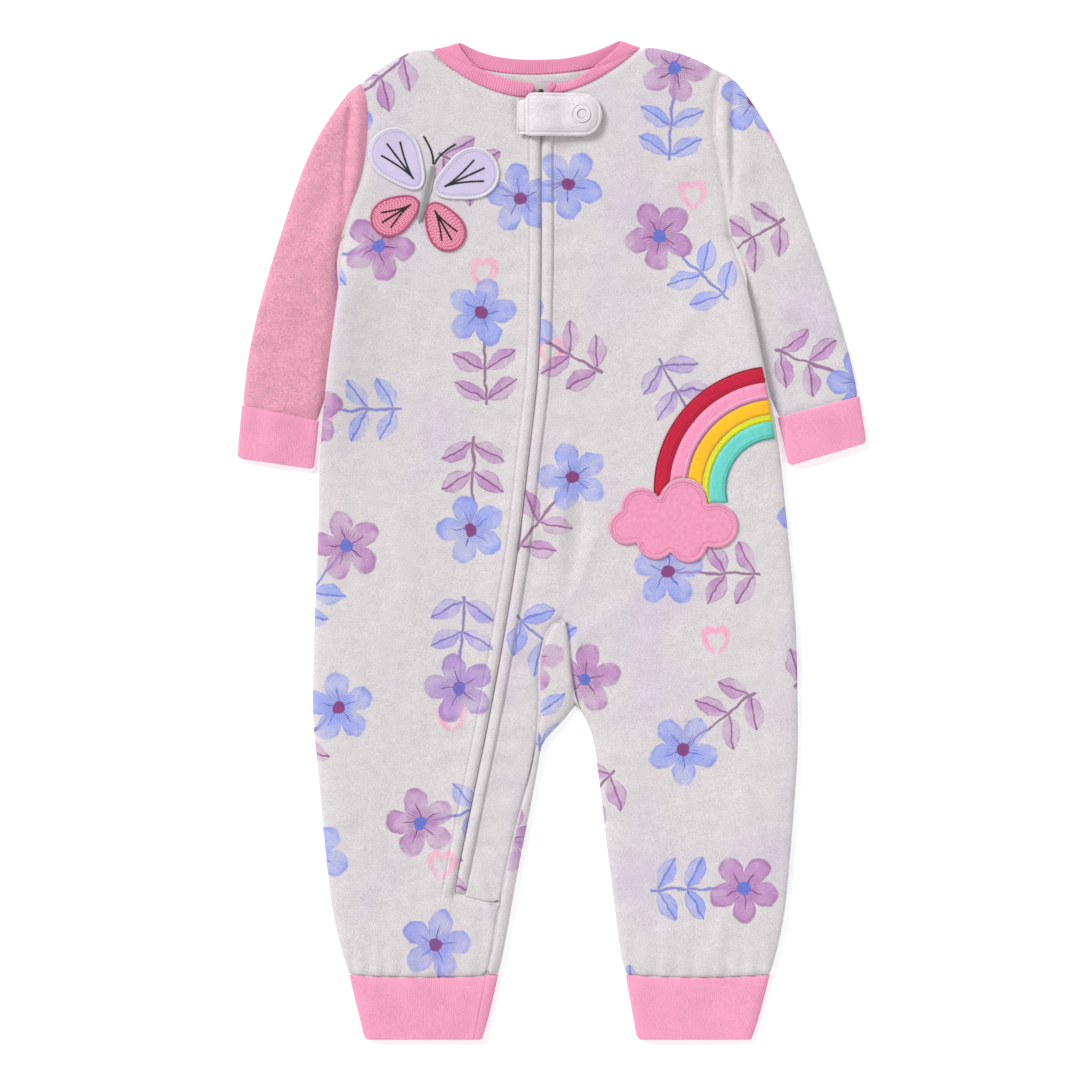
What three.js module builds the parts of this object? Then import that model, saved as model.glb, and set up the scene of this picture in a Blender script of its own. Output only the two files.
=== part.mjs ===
// A baby's footless one-piece romper in printed fleece, zipped at the front, laid flat on its back.
// Millimetres. +X is the wearer's left, +Y runs from the feet to the neck, and +Z is up from the
// surface that the garment lies on. The origin is under the middle of the whole garment.
// Right and left are the wearer's, so the right sleeve is at -X.

import * as THREE from 'three';

// Cloth and seams
const CLOTH = 1.8;
const RIB = 2.0;
const SEAM_GAP = 0.3;
const LAP_GAP = 0.8;
const ARMHOLE_GAP = 0.7;
const HEM_GAP = 0.8;
const SEAM_HEIGHT = 3.6;
const EDGE_ROUND = 8;
const FRONT_HEIGHT = 6.8;
const CELL = 23;

// Levels of the body
const SHOULDER_Y = 282.1;
const SHOULDER_LEFT_Y = 288.5;
const PIT_Y = 185;
const APEX_Y = -49;
const CROTCH_Y = -104;
const ZIP_END_Y = -220.4;
const HEM_Y = -270;
const HEM_SAG = 1.8;
const CUFF_END_Y = -310.5;
const HALF_WIDTH = 195;
const NECK_RIGHT_X = -78.7;
const NECK_LEFT_X = 58.3;
const INSEAM_TURN_Y = -227;
const KNEE_Y = -140;
const INNER_THIGH_Y = [-131, -124, -114];
const SEAT_Y = [-90, -76, -64, -57, -52.5];

// Outline of the body below the arms, where the front meets the back at the side seams.
const BODY = [
  { y: 185, right: -129.6, left: 110.4 },
  { y: 160, right: -132.0, left: 120.5 },
  { y: 130, right: -136.0, left: 127.0 },
  { y: 100, right: -140.0, left: 132.8 },
  { y: 70, right: -142.8, left: 139.4 },
  { y: 40, right: -145.2, left: 143.2 },
  { y: 10, right: -145.2, left: 146.1 },
  { y: -50, right: -147.7, left: 151.4 },
  { y: -110, right: -148.8, left: 152.9 },
  { y: -140, right: -145.8, left: 152.5 },
  { y: -200, right: -140.4, left: 147.8 },
  { y: -240, right: -134.8, left: 143.4 },
  { y: -272, right: -125.9, left: 135.4 },
];

// Armhole seams, from the shoulder tip down to the pit.
const ARMHOLE_RIGHT = [
  { y: 282.1, x: -117.8 },
  { y: 275, x: -114.2 },
  { y: 262, x: -112.8 },
  { y: 247, x: -113.5 },
  { y: 231, x: -115.3 },
  { y: 200, x: -125.3 },
  { y: 185, x: -129.6 },
];
const ARMHOLE_LEFT = [
  { y: 288.5, x: 106.6 },
  { y: 281, x: 102.4 },
  { y: 268, x: 100.4 },
  { y: 254, x: 100.0 },
  { y: 229, x: 104.2 },
  { y: 206, x: 107.9 },
  { y: 185, x: 110.4 },
];

// Shoulder lines, from the armhole to the neck.
const SHOULDER_RIGHT = [
  { x: -117.8, y: 282.1 },
  { x: -112.8, y: 287.1 },
  { x: -103.5, y: 294.5 },
  { x: -91.1, y: 300.7 },
  { x: -78.7, y: 305.7 },
];
const SHOULDER_LEFT = [
  { x: 58.3, y: 305.4 },
  { x: 79.4, y: 301.3 },
  { x: 91.8, y: 296.4 },
  { x: 101.7, y: 290.8 },
  { x: 106.6, y: 288.5 },
];

// Neck seams of the front and the back, and the free edges of the binding sewn to them.
const NECK = [
  { x: -78.7, front: 305.7, back: 305.7 },
  { x: -71, front: 296.0, back: 301.2 },
  { x: -63, front: 289.6, back: 296.9 },
  { x: -53, front: 283.4, back: 292.7 },
  { x: -41, front: 277.5, back: 289.2 },
  { x: -25, front: 272.8, back: 286.9 },
  { x: -6.8, front: 272.2, back: 286.6 },
  { x: 12, front: 276.6, back: 288.3 },
  { x: 22, front: 280.2, back: 289.8 },
  { x: 35, front: 287.5, back: 293.4 },
  { x: 45, front: 294.2, back: 297.7 },
  { x: 58.3, front: 305.4, back: 305.4 },
];
const BINDING = [
  { x: -61.5, front: 310.5, back: 310.5 },
  { x: -59, front: 303.0, back: 308.6 },
  { x: -55, front: 297.4, back: 305.8 },
  { x: -47, front: 292.4, back: 302.0 },
  { x: -38, front: 287.3, back: 299.2 },
  { x: -26, front: 283.5, back: 297.1 },
  { x: -14, front: 281.7, back: 296.4 },
  { x: 4, front: 281.5, back: 297.1 },
  { x: 13, front: 282.9, back: 298.4 },
  { x: 21, front: 287.4, back: 299.9 },
  { x: 29, front: 294.4, back: 302.5 },
  { x: 38, front: 301.4, back: 306.6 },
  { x: 42, front: 305.5, back: 308.7 },
  { x: 45, front: 310.5, back: 310.5 },
];
const BINDING_RISE = 0.5;
const BINDING_INSET = { x: 0.8, y: -0.6 };
const BINDING_ROWS = [0, 0.33, 0.66, 1];
const BINDING_END = { rightSeam: -9.0, rightFree: -14.4, leftSeam: -4.6, leftFree: 3.0 };

// The zip runs straight down the middle, then bends to the right ankle.
const ZIP = [
  { y: 272.2, x: -6.8 },
  { y: 150, x: -6.8 },
  { y: 100, x: -8.7 },
  { y: 50, x: -14.4 },
  { y: 0, x: -20.0 },
  { y: -60, x: -29.6 },
  { y: -120, x: -40.6 },
  { y: -180, x: -52.9 },
  { y: -220.4, x: -60.8 },
];
const ZIP_HALF_GAP = 0.9;
const WELT_WIDTH = 6.4;
const WELT_RISE = 1.3;
const WELT_ROUND = 0.8;
const WELT_SINK = 0.4;
const GROOVE = { depth: 0.3, width: 0.9 };
const TAPE = { halfWidth: 12, bottom: 3.4, thick: 1.0, fromY: ZIP_END_Y - 6, toY: 268 };
const COIL = { halfWidth: 0.5, bottom: 4.7, thick: 1.9, fromY: ZIP_END_Y + 1, toY: 264 };

// Crotch: the right inseam that shows on the front, and the left leg's edge that laps beside it.
const CROTCH = [
  { y: -49, seam: 5.8, lap: 6.6 },
  { y: -54, seam: 0.0, lap: 9.6 },
  { y: -60, seam: -3.6, lap: 10.3 },
  { y: -75, seam: -7.7, lap: 11.5 },
  { y: -90, seam: -8.3, lap: 13.4 },
  { y: -104, seam: -7.8, lap: 14.9 },
];

// Inner outlines of the legs below the crotch, and the right inseam on the front.
const LEGS = [
  { y: -104, seam: -7.8, right: 14.9, left: 14.9 },
  { y: -114, seam: -8.2, right: 7.5, left: 21.7 },
  { y: -124, seam: -9.4, right: -4.0, left: 24.7 },
  { y: -132, seam: -10.8, right: -7.0, left: 26.0 },
  { y: -145, seam: -13.0, right: -8.4, left: 28.0 },
  { y: -170, seam: -20.0, right: -13.3, left: 31.0 },
  { y: -200, seam: -27.0, right: -19.6, left: 34.3 },
  { y: -230, seam: -33.0, right: -24.8, left: 38.4 },
  { y: -255, seam: -36.8, right: -29.3, left: 41.3 },
  { y: -272, seam: -40.9, right: -32.9, left: 45.3 },
];

// Sleeve outlines from the shoulder tip to the cuff seam, and their edges beside the body from the
// pit to the cuff seam.
const SLEEVE_HEIGHT = 5.6;
const SLEEVE_ROWS = 8;
const SLEEVE_LEVEL = { from: 8, to: 40 };
const PUFF = { rise: 0.9, off: 5, width: 3.5 };
const PUFF_CREASE = { rise: -1.0, off: 12.5, width: 3 };
const SLEEVE_RIGHT = {
  outer: [
    { y: 282.1, x: -118.5 },
    { y: 277.8, x: -125.2 },
    { y: 270.3, x: -131.4 },
    { y: 262.3, x: -138.3 },
    { y: 246.8, x: -146.9 },
    { y: 231.3, x: -154.4 },
    { y: 200.3, x: -164.9 },
    { y: 169.3, x: -174.8 },
    { y: 138.3, x: -183.5 },
    { y: 107.3, x: -189.7 },
    { y: 82.5, x: -192.3 },
  ],
  inner: [
    { y: 185, x: -130.3 },
    { y: 174, x: -132.6 },
    { y: 162, x: -132.8 },
    { y: 145, x: -129.2 },
    { y: 122, x: -130.0 },
    { y: 103, x: -134.0 },
    { y: 88, x: -139.4 },
    { y: 72.3, x: -144.4 },
  ],
};
const SLEEVE_LEFT = {
  outer: [
    { y: 288.5, x: 107.3 },
    { y: 280.9, x: 116.6 },
    { y: 272.2, x: 124.0 },
    { y: 262.3, x: 130.2 },
    { y: 246.8, x: 138.9 },
    { y: 231.3, x: 146.3 },
    { y: 200.3, x: 156.9 },
    { y: 169.3, x: 168.0 },
    { y: 138.3, x: 177.9 },
    { y: 107.3, x: 186.6 },
    { y: 88, x: 190.3 },
  ],
  inner: [
    { y: 185, x: 111.1 },
    { y: 174, x: 116.6 },
    { y: 163, x: 120.6 },
    { y: 147, x: 119.8 },
    { y: 127, x: 121.3 },
    { y: 106, x: 126.4 },
    { y: 90, x: 133.2 },
    { y: 74.6, x: 140.0 },
  ],
};

// The body's side edges lie on the sleeves between these levels.
const TUCK = { lift: 6.2, full: 9, reach: 34, top: 183, topFull: 163, bottomFull: 84, bottom: 52 };

// Cuffs: the ends of the sewn edge and of the free edge.
const CUFF_HEIGHT = 5.4;
const CUFF_ROWS = 3;
const CUFF_CELLS = 4;
const CUFFS = [
  {
    node: 'cuff_sleeve_right',
    sewn: [[-192.2, 82.1], [-144.4, 71.9]], free: [[-HALF_WIDTH, 49.6], [-147.4, 42.6]], sag: -1.2,
  },
  {
    node: 'cuff_sleeve_left',
    sewn: [[140.0, 74.2], [190.4, 87.6]], free: [[146.6, 44.6], [HALF_WIDTH, 59.0]], sag: -1.0,
  },
  {
    node: 'cuff_leg_right',
    sewn: [[-125.6, HEM_Y - HEM_GAP], [-33.2, HEM_Y - HEM_GAP]],
    free: [[-116.0, CUFF_END_Y], [-42.2, CUFF_END_Y]], sag: -HEM_SAG,
  },
  {
    node: 'cuff_leg_left',
    sewn: [[45.6, HEM_Y - HEM_GAP], [135.0, HEM_Y - HEM_GAP]],
    free: [[52.6, CUFF_END_Y], [124.8, CUFF_END_Y]], sag: -HEM_SAG,
  },
];

// Soft ridges (rise above 0) and troughs of the front, each along a straight stretch. A fold runs out
// past its ends by one share of its length, and is full from another share on.
const FOLD_END = 0.2;
const FOLD_FULL = 0.3;
const FOLDS = [
  { x: -36, y: 0, toX: -50, toY: -100, width: 6, rise: 0.8 },
  { x: 4, y: 66, toX: 2, toY: -30, width: 7, rise: 0.8 },
  { x: 18, y: 20, toX: 10, toY: -44, width: 6, rise: -0.6 },
  { x: -124, y: 181, toX: -92, toY: 158, width: 6, rise: 0.9 },
  { x: 106, y: 181, toX: 80, toY: 150, width: 6, rise: 0.9 },
  { x: -66, y: -160, toX: -54, toY: -182, width: 3, rise: 0.7 },
  { x: -70, y: -186, toX: -60, toY: -206, width: 3, rise: 0.7 },
  { x: 112, y: -150, toX: 134, toY: -196, width: 5, rise: 0.9 },
  { x: 96, y: -176, toX: 118, toY: -220, width: 6, rise: -0.7 },
  { x: -118, y: -176, toX: -96, toY: -214, width: 6, rise: 0.7 },
  { x: 14, y: -56, toX: 20, toY: -100, width: 3.5, rise: 1.0 },
  { x: 44, y: -40, toX: 18, toY: -60, width: 6, rise: 0.8 },
  { x: -8, y: -40, toX: -22, toY: -64, width: 5, rise: 0.6 },
  { x: -100, y: 40, toX: -84, toY: -60, width: 9, rise: 0.6 },
  { x: 120, y: -10, toX: 104, toY: -90, width: 9, rise: 0.6 },
];

// Chin guard over the top of the zip, its snap, and the slider and pull below it.
const GUARD = { left: -21.7, right: 31.0, bottom: 248.2, top: 275.2, thick: 2.6, round: 2.2, endRound: 12 };
const SNAP = {
  x: 18.6, y: 261.8, outerRadius: 5.1, holeRadius: 3.3, thick: 1.0, studRadius: 3.6, studGap: 0.6,
};
const GUARD_TIP = 0.12;
const GUARD_EDGE = 0.35;
const GUARD_COLUMNS = [0, 0.04, 0.14, 0.24, 0.34, 0.44, 0.55, 0.66, 0.76, 0.85, 0.92, 0.97, 1];
const GUARD_ROWS = [-1, -0.86, -0.45, 0, 0.45, 0.86, 1];
const SLIDER = { halfWidth: 3.6, bottom: 265.6, top: 277.4, thick: 2.0 };
const PULL = { halfWidth: 2.4, bottom: 250.5, top: 265.2, thick: 1.1 };
// Room under the guard: over the front, and more over the slider and over the stud, each falling
// away between two distances.
const GUARD_ROOM = { front: 0.5, slider: 0.7, sliderNear: 1, sliderFar: 9, stud: 1.3, studNear: 1, studFar: 7 };

// Patches on the fronts
const PATCH = 1.0;
const PATCH_GAP = 0.5;
const SLOPE_STEP = 1.5;
const CLOUD = { x: 75.2, y: 9.6 };
const CLOUD_LOBES = [
  { x: -20, y: 9, radius: 12.5 },
  { x: 6, y: 12, radius: 15 },
  { x: 26, y: -2, radius: 14 },
  { x: 9, y: -13, radius: 12 },
  { x: -11, y: -11, radius: 12 },
  { x: -29, y: -3, radius: 11 },
];
const RAINBOW = { x: 138.9, y: 30.4, seamInset: 2.8, lowest: 3.4, easing: 1.7 };
const BANDS = [
  { node: 'rainbow_crimson', outer: 76.0, inner: 66.0, colour: '#C8234B' },
  { node: 'rainbow_pink', outer: 65.7, inner: 55.5, colour: '#F29BC1' },
  { node: 'rainbow_amber', outer: 55.2, inner: 46.0, colour: '#FFC62E' },
  { node: 'rainbow_lemon', outer: 45.7, inner: 42.0, colour: '#E8EE3A' },
  { node: 'rainbow_turquoise', outer: 41.7, inner: 31.0, colour: '#76DDD0' },
];

// The butterfly's egg-shaped pieces: centre from the thorax, half sizes, heading, and how much
// the far end is wider.
const BUTTERFLY = { x: -78, y: 212, turn: -14 };
const BUTTERFLY_PIECES = [
  { node: 'butterfly_wing_upper_right', distance: 27, long: 21.5, wide: 15, heading: 141, flare: 0.28 },
  { node: 'butterfly_wing_upper_left', distance: 27, long: 21.5, wide: 15, heading: 39, flare: 0.28 },
  { node: 'butterfly_wing_lower_right', distance: 22, long: 16.5, wide: 11.5, heading: 226, flare: 0.2 },
  { node: 'butterfly_wing_lower_left', distance: 22, long: 16.5, wide: 11.5, heading: 314, flare: 0.2 },
  { node: 'butterfly_body', distance: 1, long: 19, wide: 2.6, heading: 90, flare: 0.1 },
];

const FLEECE = new THREE.MeshStandardMaterial({ color: '#E6E2E3', roughness: 0.95, metalness: 0 });
const PINK_FLEECE = new THREE.MeshStandardMaterial({ color: '#F49BBE', roughness: 0.95, metalness: 0 });
const PINK_RIB = new THREE.MeshStandardMaterial({ color: '#EE8FB8', roughness: 0.9, metalness: 0 });
const ZIP_WHITE = new THREE.MeshStandardMaterial({ color: '#F2F0F0', roughness: 0.6, metalness: 0 });
const SNAP_WHITE = new THREE.MeshStandardMaterial({ color: '#F4F3F4', roughness: 0.35, metalness: 0 });
const SLIDER_BLACK = new THREE.MeshStandardMaterial({ color: '#2A2A2C', roughness: 0.4, metalness: 0.6 });
const SATIN = new THREE.MeshStandardMaterial({ color: '#D8CFE8', roughness: 0.4, metalness: 0 });
const STITCH_PINK = new THREE.MeshStandardMaterial({ color: '#E87FA0', roughness: 0.6, metalness: 0 });
const SILVER = new THREE.MeshStandardMaterial({ color: '#A8A8A8', roughness: 0.4, metalness: 0.3 });

const romper = new THREE.Group();
const frontFaces = [];

const mix = (a, b, t) => a + (b - a) * t;
const mixPoint = (a, b, t) => [mix(a[0], b[0], t), mix(a[1], b[1], t)];
const clamp = (value) => Math.min(Math.max(value, 0), 1);

function smooth(from, to, value) {
  const t = clamp((value - from) / (to - from));
  return t * t * (3 - 2 * t);
}

// Smooth value of one column of a table whose rows run in order of the key column.
function read(table, key, column, at) {
  const rows = table[0][key] < table[table.length - 1][key] ? table : [...table].reverse();
  const last = rows.length - 1;
  const place = Math.min(Math.max(at, rows[0][key]), rows[last][key]);
  let i = 0;
  while (i < last - 1 && rows[i + 1][key] < place) i += 1;
  const slope = (k) => {
    const before = rows[Math.max(k - 1, 0)];
    const after = rows[Math.min(k + 1, last)];
    return (after[column] - before[column]) / (after[key] - before[key]);
  };
  const step = rows[i + 1][key] - rows[i][key];
  const t = (place - rows[i][key]) / step;
  const rise = t * t * (3 - 2 * t);
  const leave = t * (1 - t) * (1 - t) * step * slope(i);
  const arrive = t * t * (t - 1) * step * slope(i + 1);
  return mix(rows[i][column], rows[i + 1][column], rise) + leave + arrive;
}

const sideRight = (y) => read(BODY, 'y', 'right', y);
const sideLeft = (y) => read(BODY, 'y', 'left', y);
const zipAt = (y) => read(ZIP, 'y', 'x', y);
const inseam = (y) => (y > CROTCH_Y ? read(CROTCH, 'y', 'seam', y) : read(LEGS, 'y', 'seam', y));
const lap = (y) => read(CROTCH, 'y', 'lap', y);
const innerRight = (y) => read(LEGS, 'y', 'right', y);
const innerLeft = (y) => read(LEGS, 'y', 'left', y);

// An edge that climbs from one level to another, as a function of how far along it is.
const climb = (line, from, to, shift = 0) => (t) => {
  const y = mix(from, to, t);
  return [line(y) + shift, y];
};
const across = (a, b) => (t) => mixPoint(a, b, t);

// Points of a line at even steps, for measuring distances to it.
function sample(edge, steps) {
  return Array.from({ length: steps + 1 }, (_, i) => edge(i / steps));
}

// A point this near a line counts as on it, and a long line is measured in so many steps.
const ON_LINE = 0.12;
const LINE_STEPS = 60;

// Distance from a plan point to the nearest of some lines, and the way that leads away from it.
// Every line is drawn with the cloth on its left.
function nearest(lines, p) {
  let best = { distance: Infinity, away: [0, 0] };
  for (const line of lines) {
    for (let i = 0; i < line.length - 1; i += 1) {
      const a = line[i];
      const along = [line[i + 1][0] - a[0], line[i + 1][1] - a[1]];
      const length = Math.hypot(...along);
      const t = clamp(((p[0] - a[0]) * along[0] + (p[1] - a[1]) * along[1]) / (length * length));
      const offset = [p[0] - a[0] - along[0] * t, p[1] - a[1] - along[1] * t];
      const distance = Math.hypot(...offset);
      if (distance < best.distance) {
        const left = [-along[1] / length, along[0] / length];
        const away = distance > 0.5 ? [offset[0] / distance, offset[1] / distance] : left;
        best = { distance, away };
      }
    }
  }
  return { distance: Math.max(0, best.distance - ON_LINE), away: best.away };
}

const rowsFor = (length) => Math.max(2, Math.round(Math.abs(length) / CELL));
const steps = (from, to, count) => Array.from({ length: count + 1 }, (_, i) => mix(from, to, i / count));

// Levels of the rows, shared by the front and the back so that their seam points meet.
const ANKLE_LEVELS = steps(HEM_Y, INSEAM_TURN_Y, 3);
const THIGH_LEVELS = [
  ...steps(ZIP_END_Y, KNEE_Y, rowsFor(KNEE_Y - ZIP_END_Y)), ...INNER_THIGH_Y, CROTCH_Y,
];
const LEG_LEVELS = [...ANKLE_LEVELS, ...THIGH_LEVELS];
const SEAT_LEVELS = [CROTCH_Y, ...SEAT_Y, APEX_Y];
const TRUNK_LEVELS = steps(APEX_Y, PIT_Y, rowsFor(PIT_Y - APEX_Y));
const BODY_LEVELS = [...LEG_LEVELS, ...SEAT_LEVELS.slice(1), ...TRUNK_LEVELS.slice(1)];

// Outlines where the front and the back meet, through the same points as the panels' rows.
const atLevels = (levels, line) => levels.map((y) => [line(y), y]);
const SHOULDER_RIGHT_X = SHOULDER_RIGHT[0].x;
const SHOULDER_LEFT_X = SHOULDER_LEFT[SHOULDER_LEFT.length - 1].x;
const SHOULDER_STEPS = 12;
const shoulder = (table, from, to) => sample((t) => {
  const x = mix(from, to, t);
  return [x, read(table, 'x', 'y', x)];
}, SHOULDER_STEPS);
const SHOULDERS = [
  shoulder(SHOULDER_RIGHT, NECK_RIGHT_X, SHOULDER_RIGHT_X),
  shoulder(SHOULDER_LEFT, SHOULDER_LEFT_X, NECK_LEFT_X),
];
const BODY_EDGES = [
  atLevels(BODY_LEVELS, sideRight).reverse(),
  atLevels(BODY_LEVELS, sideLeft),
  atLevels(LEG_LEVELS, innerRight),
  atLevels(LEG_LEVELS, innerLeft).reverse(),
  ...SHOULDERS,
];

// How far round the edge's quarter circle a point is: 0 at the edge, 1 where the cloth lies level.
const roundness = (t) => Math.sqrt(1 - (1 - clamp(t)) ** 2);

const bump = (shape, off) => shape.rise * Math.exp(-(((off - shape.off) / shape.width) ** 2));

function foldRise(p) {
  let rise = 0;
  for (const fold of FOLDS) {
    const along = [fold.toX - fold.x, fold.toY - fold.y];
    const length = Math.hypot(...along);
    const t = ((p[0] - fold.x) * along[0] + (p[1] - fold.y) * along[1]) / (length * length);
    const off = Math.abs((p[0] - fold.x) * along[1] - (p[1] - fold.y) * along[0]) / length;
    const ends = smooth(-FOLD_END, FOLD_FULL, t) * smooth(1 + FOLD_END, 1 - FOLD_FULL, t);
    rise += fold.rise * ends * Math.exp(-((off / fold.width) ** 2));
  }
  return rise;
}

// The folded welts stand up beside the zip, with a stitched groove behind them.
function weltRise(p) {
  if (p[1] < ZIP_END_Y) return 0;
  const off = Math.abs(p[0] - zipAt(p[1])) - ZIP_HALF_GAP;
  const inner = smooth(-WELT_ROUND, 2 * WELT_ROUND, off);
  const welt = inner * smooth(WELT_WIDTH + WELT_ROUND, WELT_WIDTH - WELT_ROUND, off);
  const groove = GROOVE.depth * Math.exp(-(((off - WELT_WIDTH) / GROOVE.width - 1) ** 2));
  const level = WELT_SINK * (smooth(WELT_WIDTH, WELT_WIDTH + 2, off) - 1);
  return (WELT_RISE + WELT_SINK) * welt + level - groove;
}

const frontBase = (p) => FRONT_HEIGHT + foldRise(p);

function sleeveLift(p) {
  const level = smooth(TUCK.top, TUCK.topFull, p[1]) * smooth(TUCK.bottom, TUCK.bottomFull, p[1]);
  if (level === 0) return 0;
  const off = Math.min(p[0] - sideRight(p[1]), sideLeft(p[1]) - p[0]);
  return TUCK.lift * level * smooth(TUCK.reach, TUCK.full, off);
}

// Outer and inner points of the body's cloth at plan point p. face is 1 on top and -1 below.
function bodyWall(face, seam) {
  return (p) => {
    const edge = nearest(BODY_EDGES, p);
    const round = roundness(edge.distance / EDGE_ROUND);
    const inset = CLOTH * (1 - clamp(edge.distance / EDGE_ROUND));
    const lift = sleeveLift(p);
    const base = face > 0 ? frontBase(p) - seam : seam;
    const raised = face > 0 ? base + weltRise(p) : base;
    return {
      outer: [p[0], p[1], seam + face * raised * round + lift],
      inner: [p[0] + edge.away[0] * inset, p[1] + edge.away[1] * inset,
        seam + face * (base - CLOTH) * round + lift],
    };
  };
}
const FRONT_SEAM = SEAM_HEIGHT + SEAM_GAP / 2;
const BACK_SEAM = SEAM_HEIGHT - SEAM_GAP / 2;
const frontWall = bodyWall(1, FRONT_SEAM);
const backWall = bodyWall(-1, BACK_SEAM);
const rolledWall = bodyWall(1, BACK_SEAM);

// Fractions across a block of the given width. Each zone has columns at set distances from its two
// sides, and even cells between them.
function columns(width, zones) {
  const places = [0];
  let start = 0;
  for (const zone of zones) {
    const end = zone.end * width;
    const reach = Math.max(0, ...zone.near) + Math.max(0, ...zone.far);
    const fit = reach > 0 ? Math.min(1, (0.8 * (end - start)) / reach) : 1;
    const near = zone.near.map((d) => start + d * fit);
    const far = zone.far.map((d) => end - d * fit);
    const [first, final] = [near[near.length - 1] ?? start, far[0] ?? end];
    places.push(...near);
    for (let i = 1; i < zone.cells; i += 1) places.push(mix(first, final, i / zone.cells));
    places.push(...far, end);
    start = end;
  }
  return places.map((place) => place / (width || 1));
}

// A four-sided block of plan points, row by row, that follows its four edges.
function block(edges, rows, zones) {
  const { left, right, bottom, top } = edges;
  const count = Array.isArray(rows) ? rows : Array.from({ length: rows + 1 }, (_, i) => i / rows);
  return count.map((v) => {
    const [l, r] = [left(v), right(v)];
    const us = columns(Math.hypot(r[0] - l[0], r[1] - l[1]), zones);
    return us.map((u) => [0, 1].map((axis) => {
      const ruled = mix(l[axis], r[axis], u) + mix(bottom(u)[axis], top(u)[axis], v);
      const corners = mix(
        mix(bottom(0)[axis], bottom(1)[axis], u),
        mix(top(0)[axis], top(1)[axis], u),
        v,
      );
      return ruled - corners;
    }));
  });
}

// One closed solid from blocks of plan points. Each block's wall gives its outer and inner points,
// and blocks that share edge points are sewn together there. A block that faces down is flipped.
function clothSolid(blocks) {
  const outer = [];
  const inner = [];
  const index = new Map();
  const faces = [];
  for (const { grid, wall, flip } of blocks) {
    const ids = grid.map((row) => row.map((p) => {
      const points = wall(p);
      const key = points.outer.map((value) => Math.round(value * 100)).join(' ');
      if (!index.has(key)) {
        index.set(key, outer.length);
        outer.push(points.outer);
        inner.push(points.inner);
      }
      return index.get(key);
    }));
    for (let j = 0; j < ids.length - 1; j += 1) {
      for (let i = 0; i < ids[j].length - 1; i += 1) {
        const corners = [ids[j][i], ids[j][i + 1], ids[j + 1][i + 1], ids[j + 1][i]];
        if (flip) corners.reverse();
        faces.push([corners[0], corners[1], corners[2]], [corners[0], corners[2], corners[3]]);
      }
    }
  }
  const real = faces.filter(([a, b, c]) => a !== b && b !== c && c !== a);
  const directed = new Set(real.flatMap(([a, b, c]) => [`${a} ${b}`, `${b} ${c}`, `${c} ${a}`]));
  const shift = outer.length;
  const triangles = [];
  for (const [a, b, c] of real) {
    triangles.push(a, b, c, c + shift, b + shift, a + shift);
    for (const [from, to] of [[a, b], [b, c], [c, a]]) {
      if (!directed.has(`${to} ${from}`)) {
        triangles.push(to, from, from + shift, to, from + shift, to + shift);
      }
    }
  }
  const geometry = new THREE.BufferGeometry();
  const positions = new Float32Array([...outer, ...inner].flat());
  geometry.setAttribute('position', new THREE.BufferAttribute(positions, 3));
  geometry.setIndex(triangles);
  geometry.computeVertexNormals();
  return geometry;
}

function add(node, geometry, material) {
  const mesh = new THREE.Mesh(geometry, material);
  mesh.name = node;
  romper.add(mesh);
}

const SIDE = [2.4, EDGE_ROUND];
const SIDE_FAR = [EDGE_ROUND, 2.4];
const WELT = [1.4, WELT_WIDTH - 0.6, WELT_WIDTH + 2.2];
const WELT_FAR = [...WELT].reverse();
const NONE = [];
const YOKE_LENGTH = SHOULDER_Y - PIT_Y;
const YOKE_ROWS = columns(YOKE_LENGTH, [{ end: 1, near: SIDE, far: SIDE_FAR, cells: 4 }]);

// The outlines of the legs, and how the rows between them bow towards the foot as they near the hem.
const RIGHT_LEG = { from: sideRight, to: innerRight };
const LEFT_LEG = { from: innerLeft, to: sideLeft };
function legY(x, y, { from, to }) {
  const u = (x - from(y)) / (to(y) - from(y));
  return y - HEM_SAG * 4 * u * (1 - u) * smooth(CROTCH_Y, HEM_Y, y);
}

// A plan row from one x to another, with the spacing of a given row.
function likeRow(row, from, to, yAt) {
  const [first, final] = [row[0][0], row[row.length - 1][0]];
  return row.map(([x]) => {
    const place = mix(from, to, (x - first) / (final - first));
    return [place, yAt(place)];
  });
}

// Rows of a leg from the hem up to the crotch, spaced like the row above it.
function legGrid(topRow, leg, shift = () => 0) {
  return LEG_LEVELS.map((y) => (
    likeRow(topRow, leg.from(y) + shift(y), leg.to(y), (x) => legY(x, y, leg))
  ));
}

// Rows of a trunk at the given levels, from one edge to the other.
function trunkGrid(levels, fromAt, toAt, zonesAt) {
  return levels.map((y) => {
    const [from, to] = [fromAt(y), toAt(y)];
    return columns(to - from, zonesAt(y)).map((u) => [mix(from, to, u), y]);
  });
}

const armholeRight = (y) => read(ARMHOLE_RIGHT, 'y', 'x', y);
const armholeLeft = (y) => read(ARMHOLE_LEFT, 'y', 'x', y);

// The top edge of a panel: its shoulders, and its side of the neck between them.
const topEdge = (from, to, side) => (t) => {
  const x = mix(from, to, t);
  if (x < NECK_RIGHT_X) return [x, read(SHOULDER_RIGHT, 'x', 'y', x)];
  if (x > NECK_LEFT_X) return [x, read(SHOULDER_LEFT, 'x', 'y', x)];
  return [x, read(NECK, 'x', side, x)];
};

// How far across a panel its middle column stands at the chest. Lower down it runs to the crotch.
const BACK_MIDDLE = 0.56;
const FRONT_MIDDLE = 0.3;
function crotchStop(y) {
  const low = (innerRight(CROTCH_Y) - sideRight(CROTCH_Y)) / (sideLeft(CROTCH_Y) - sideRight(CROTCH_Y));
  return mix(BACK_MIDDLE, low, smooth(PIT_Y, CROTCH_Y, y));
}

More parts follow.
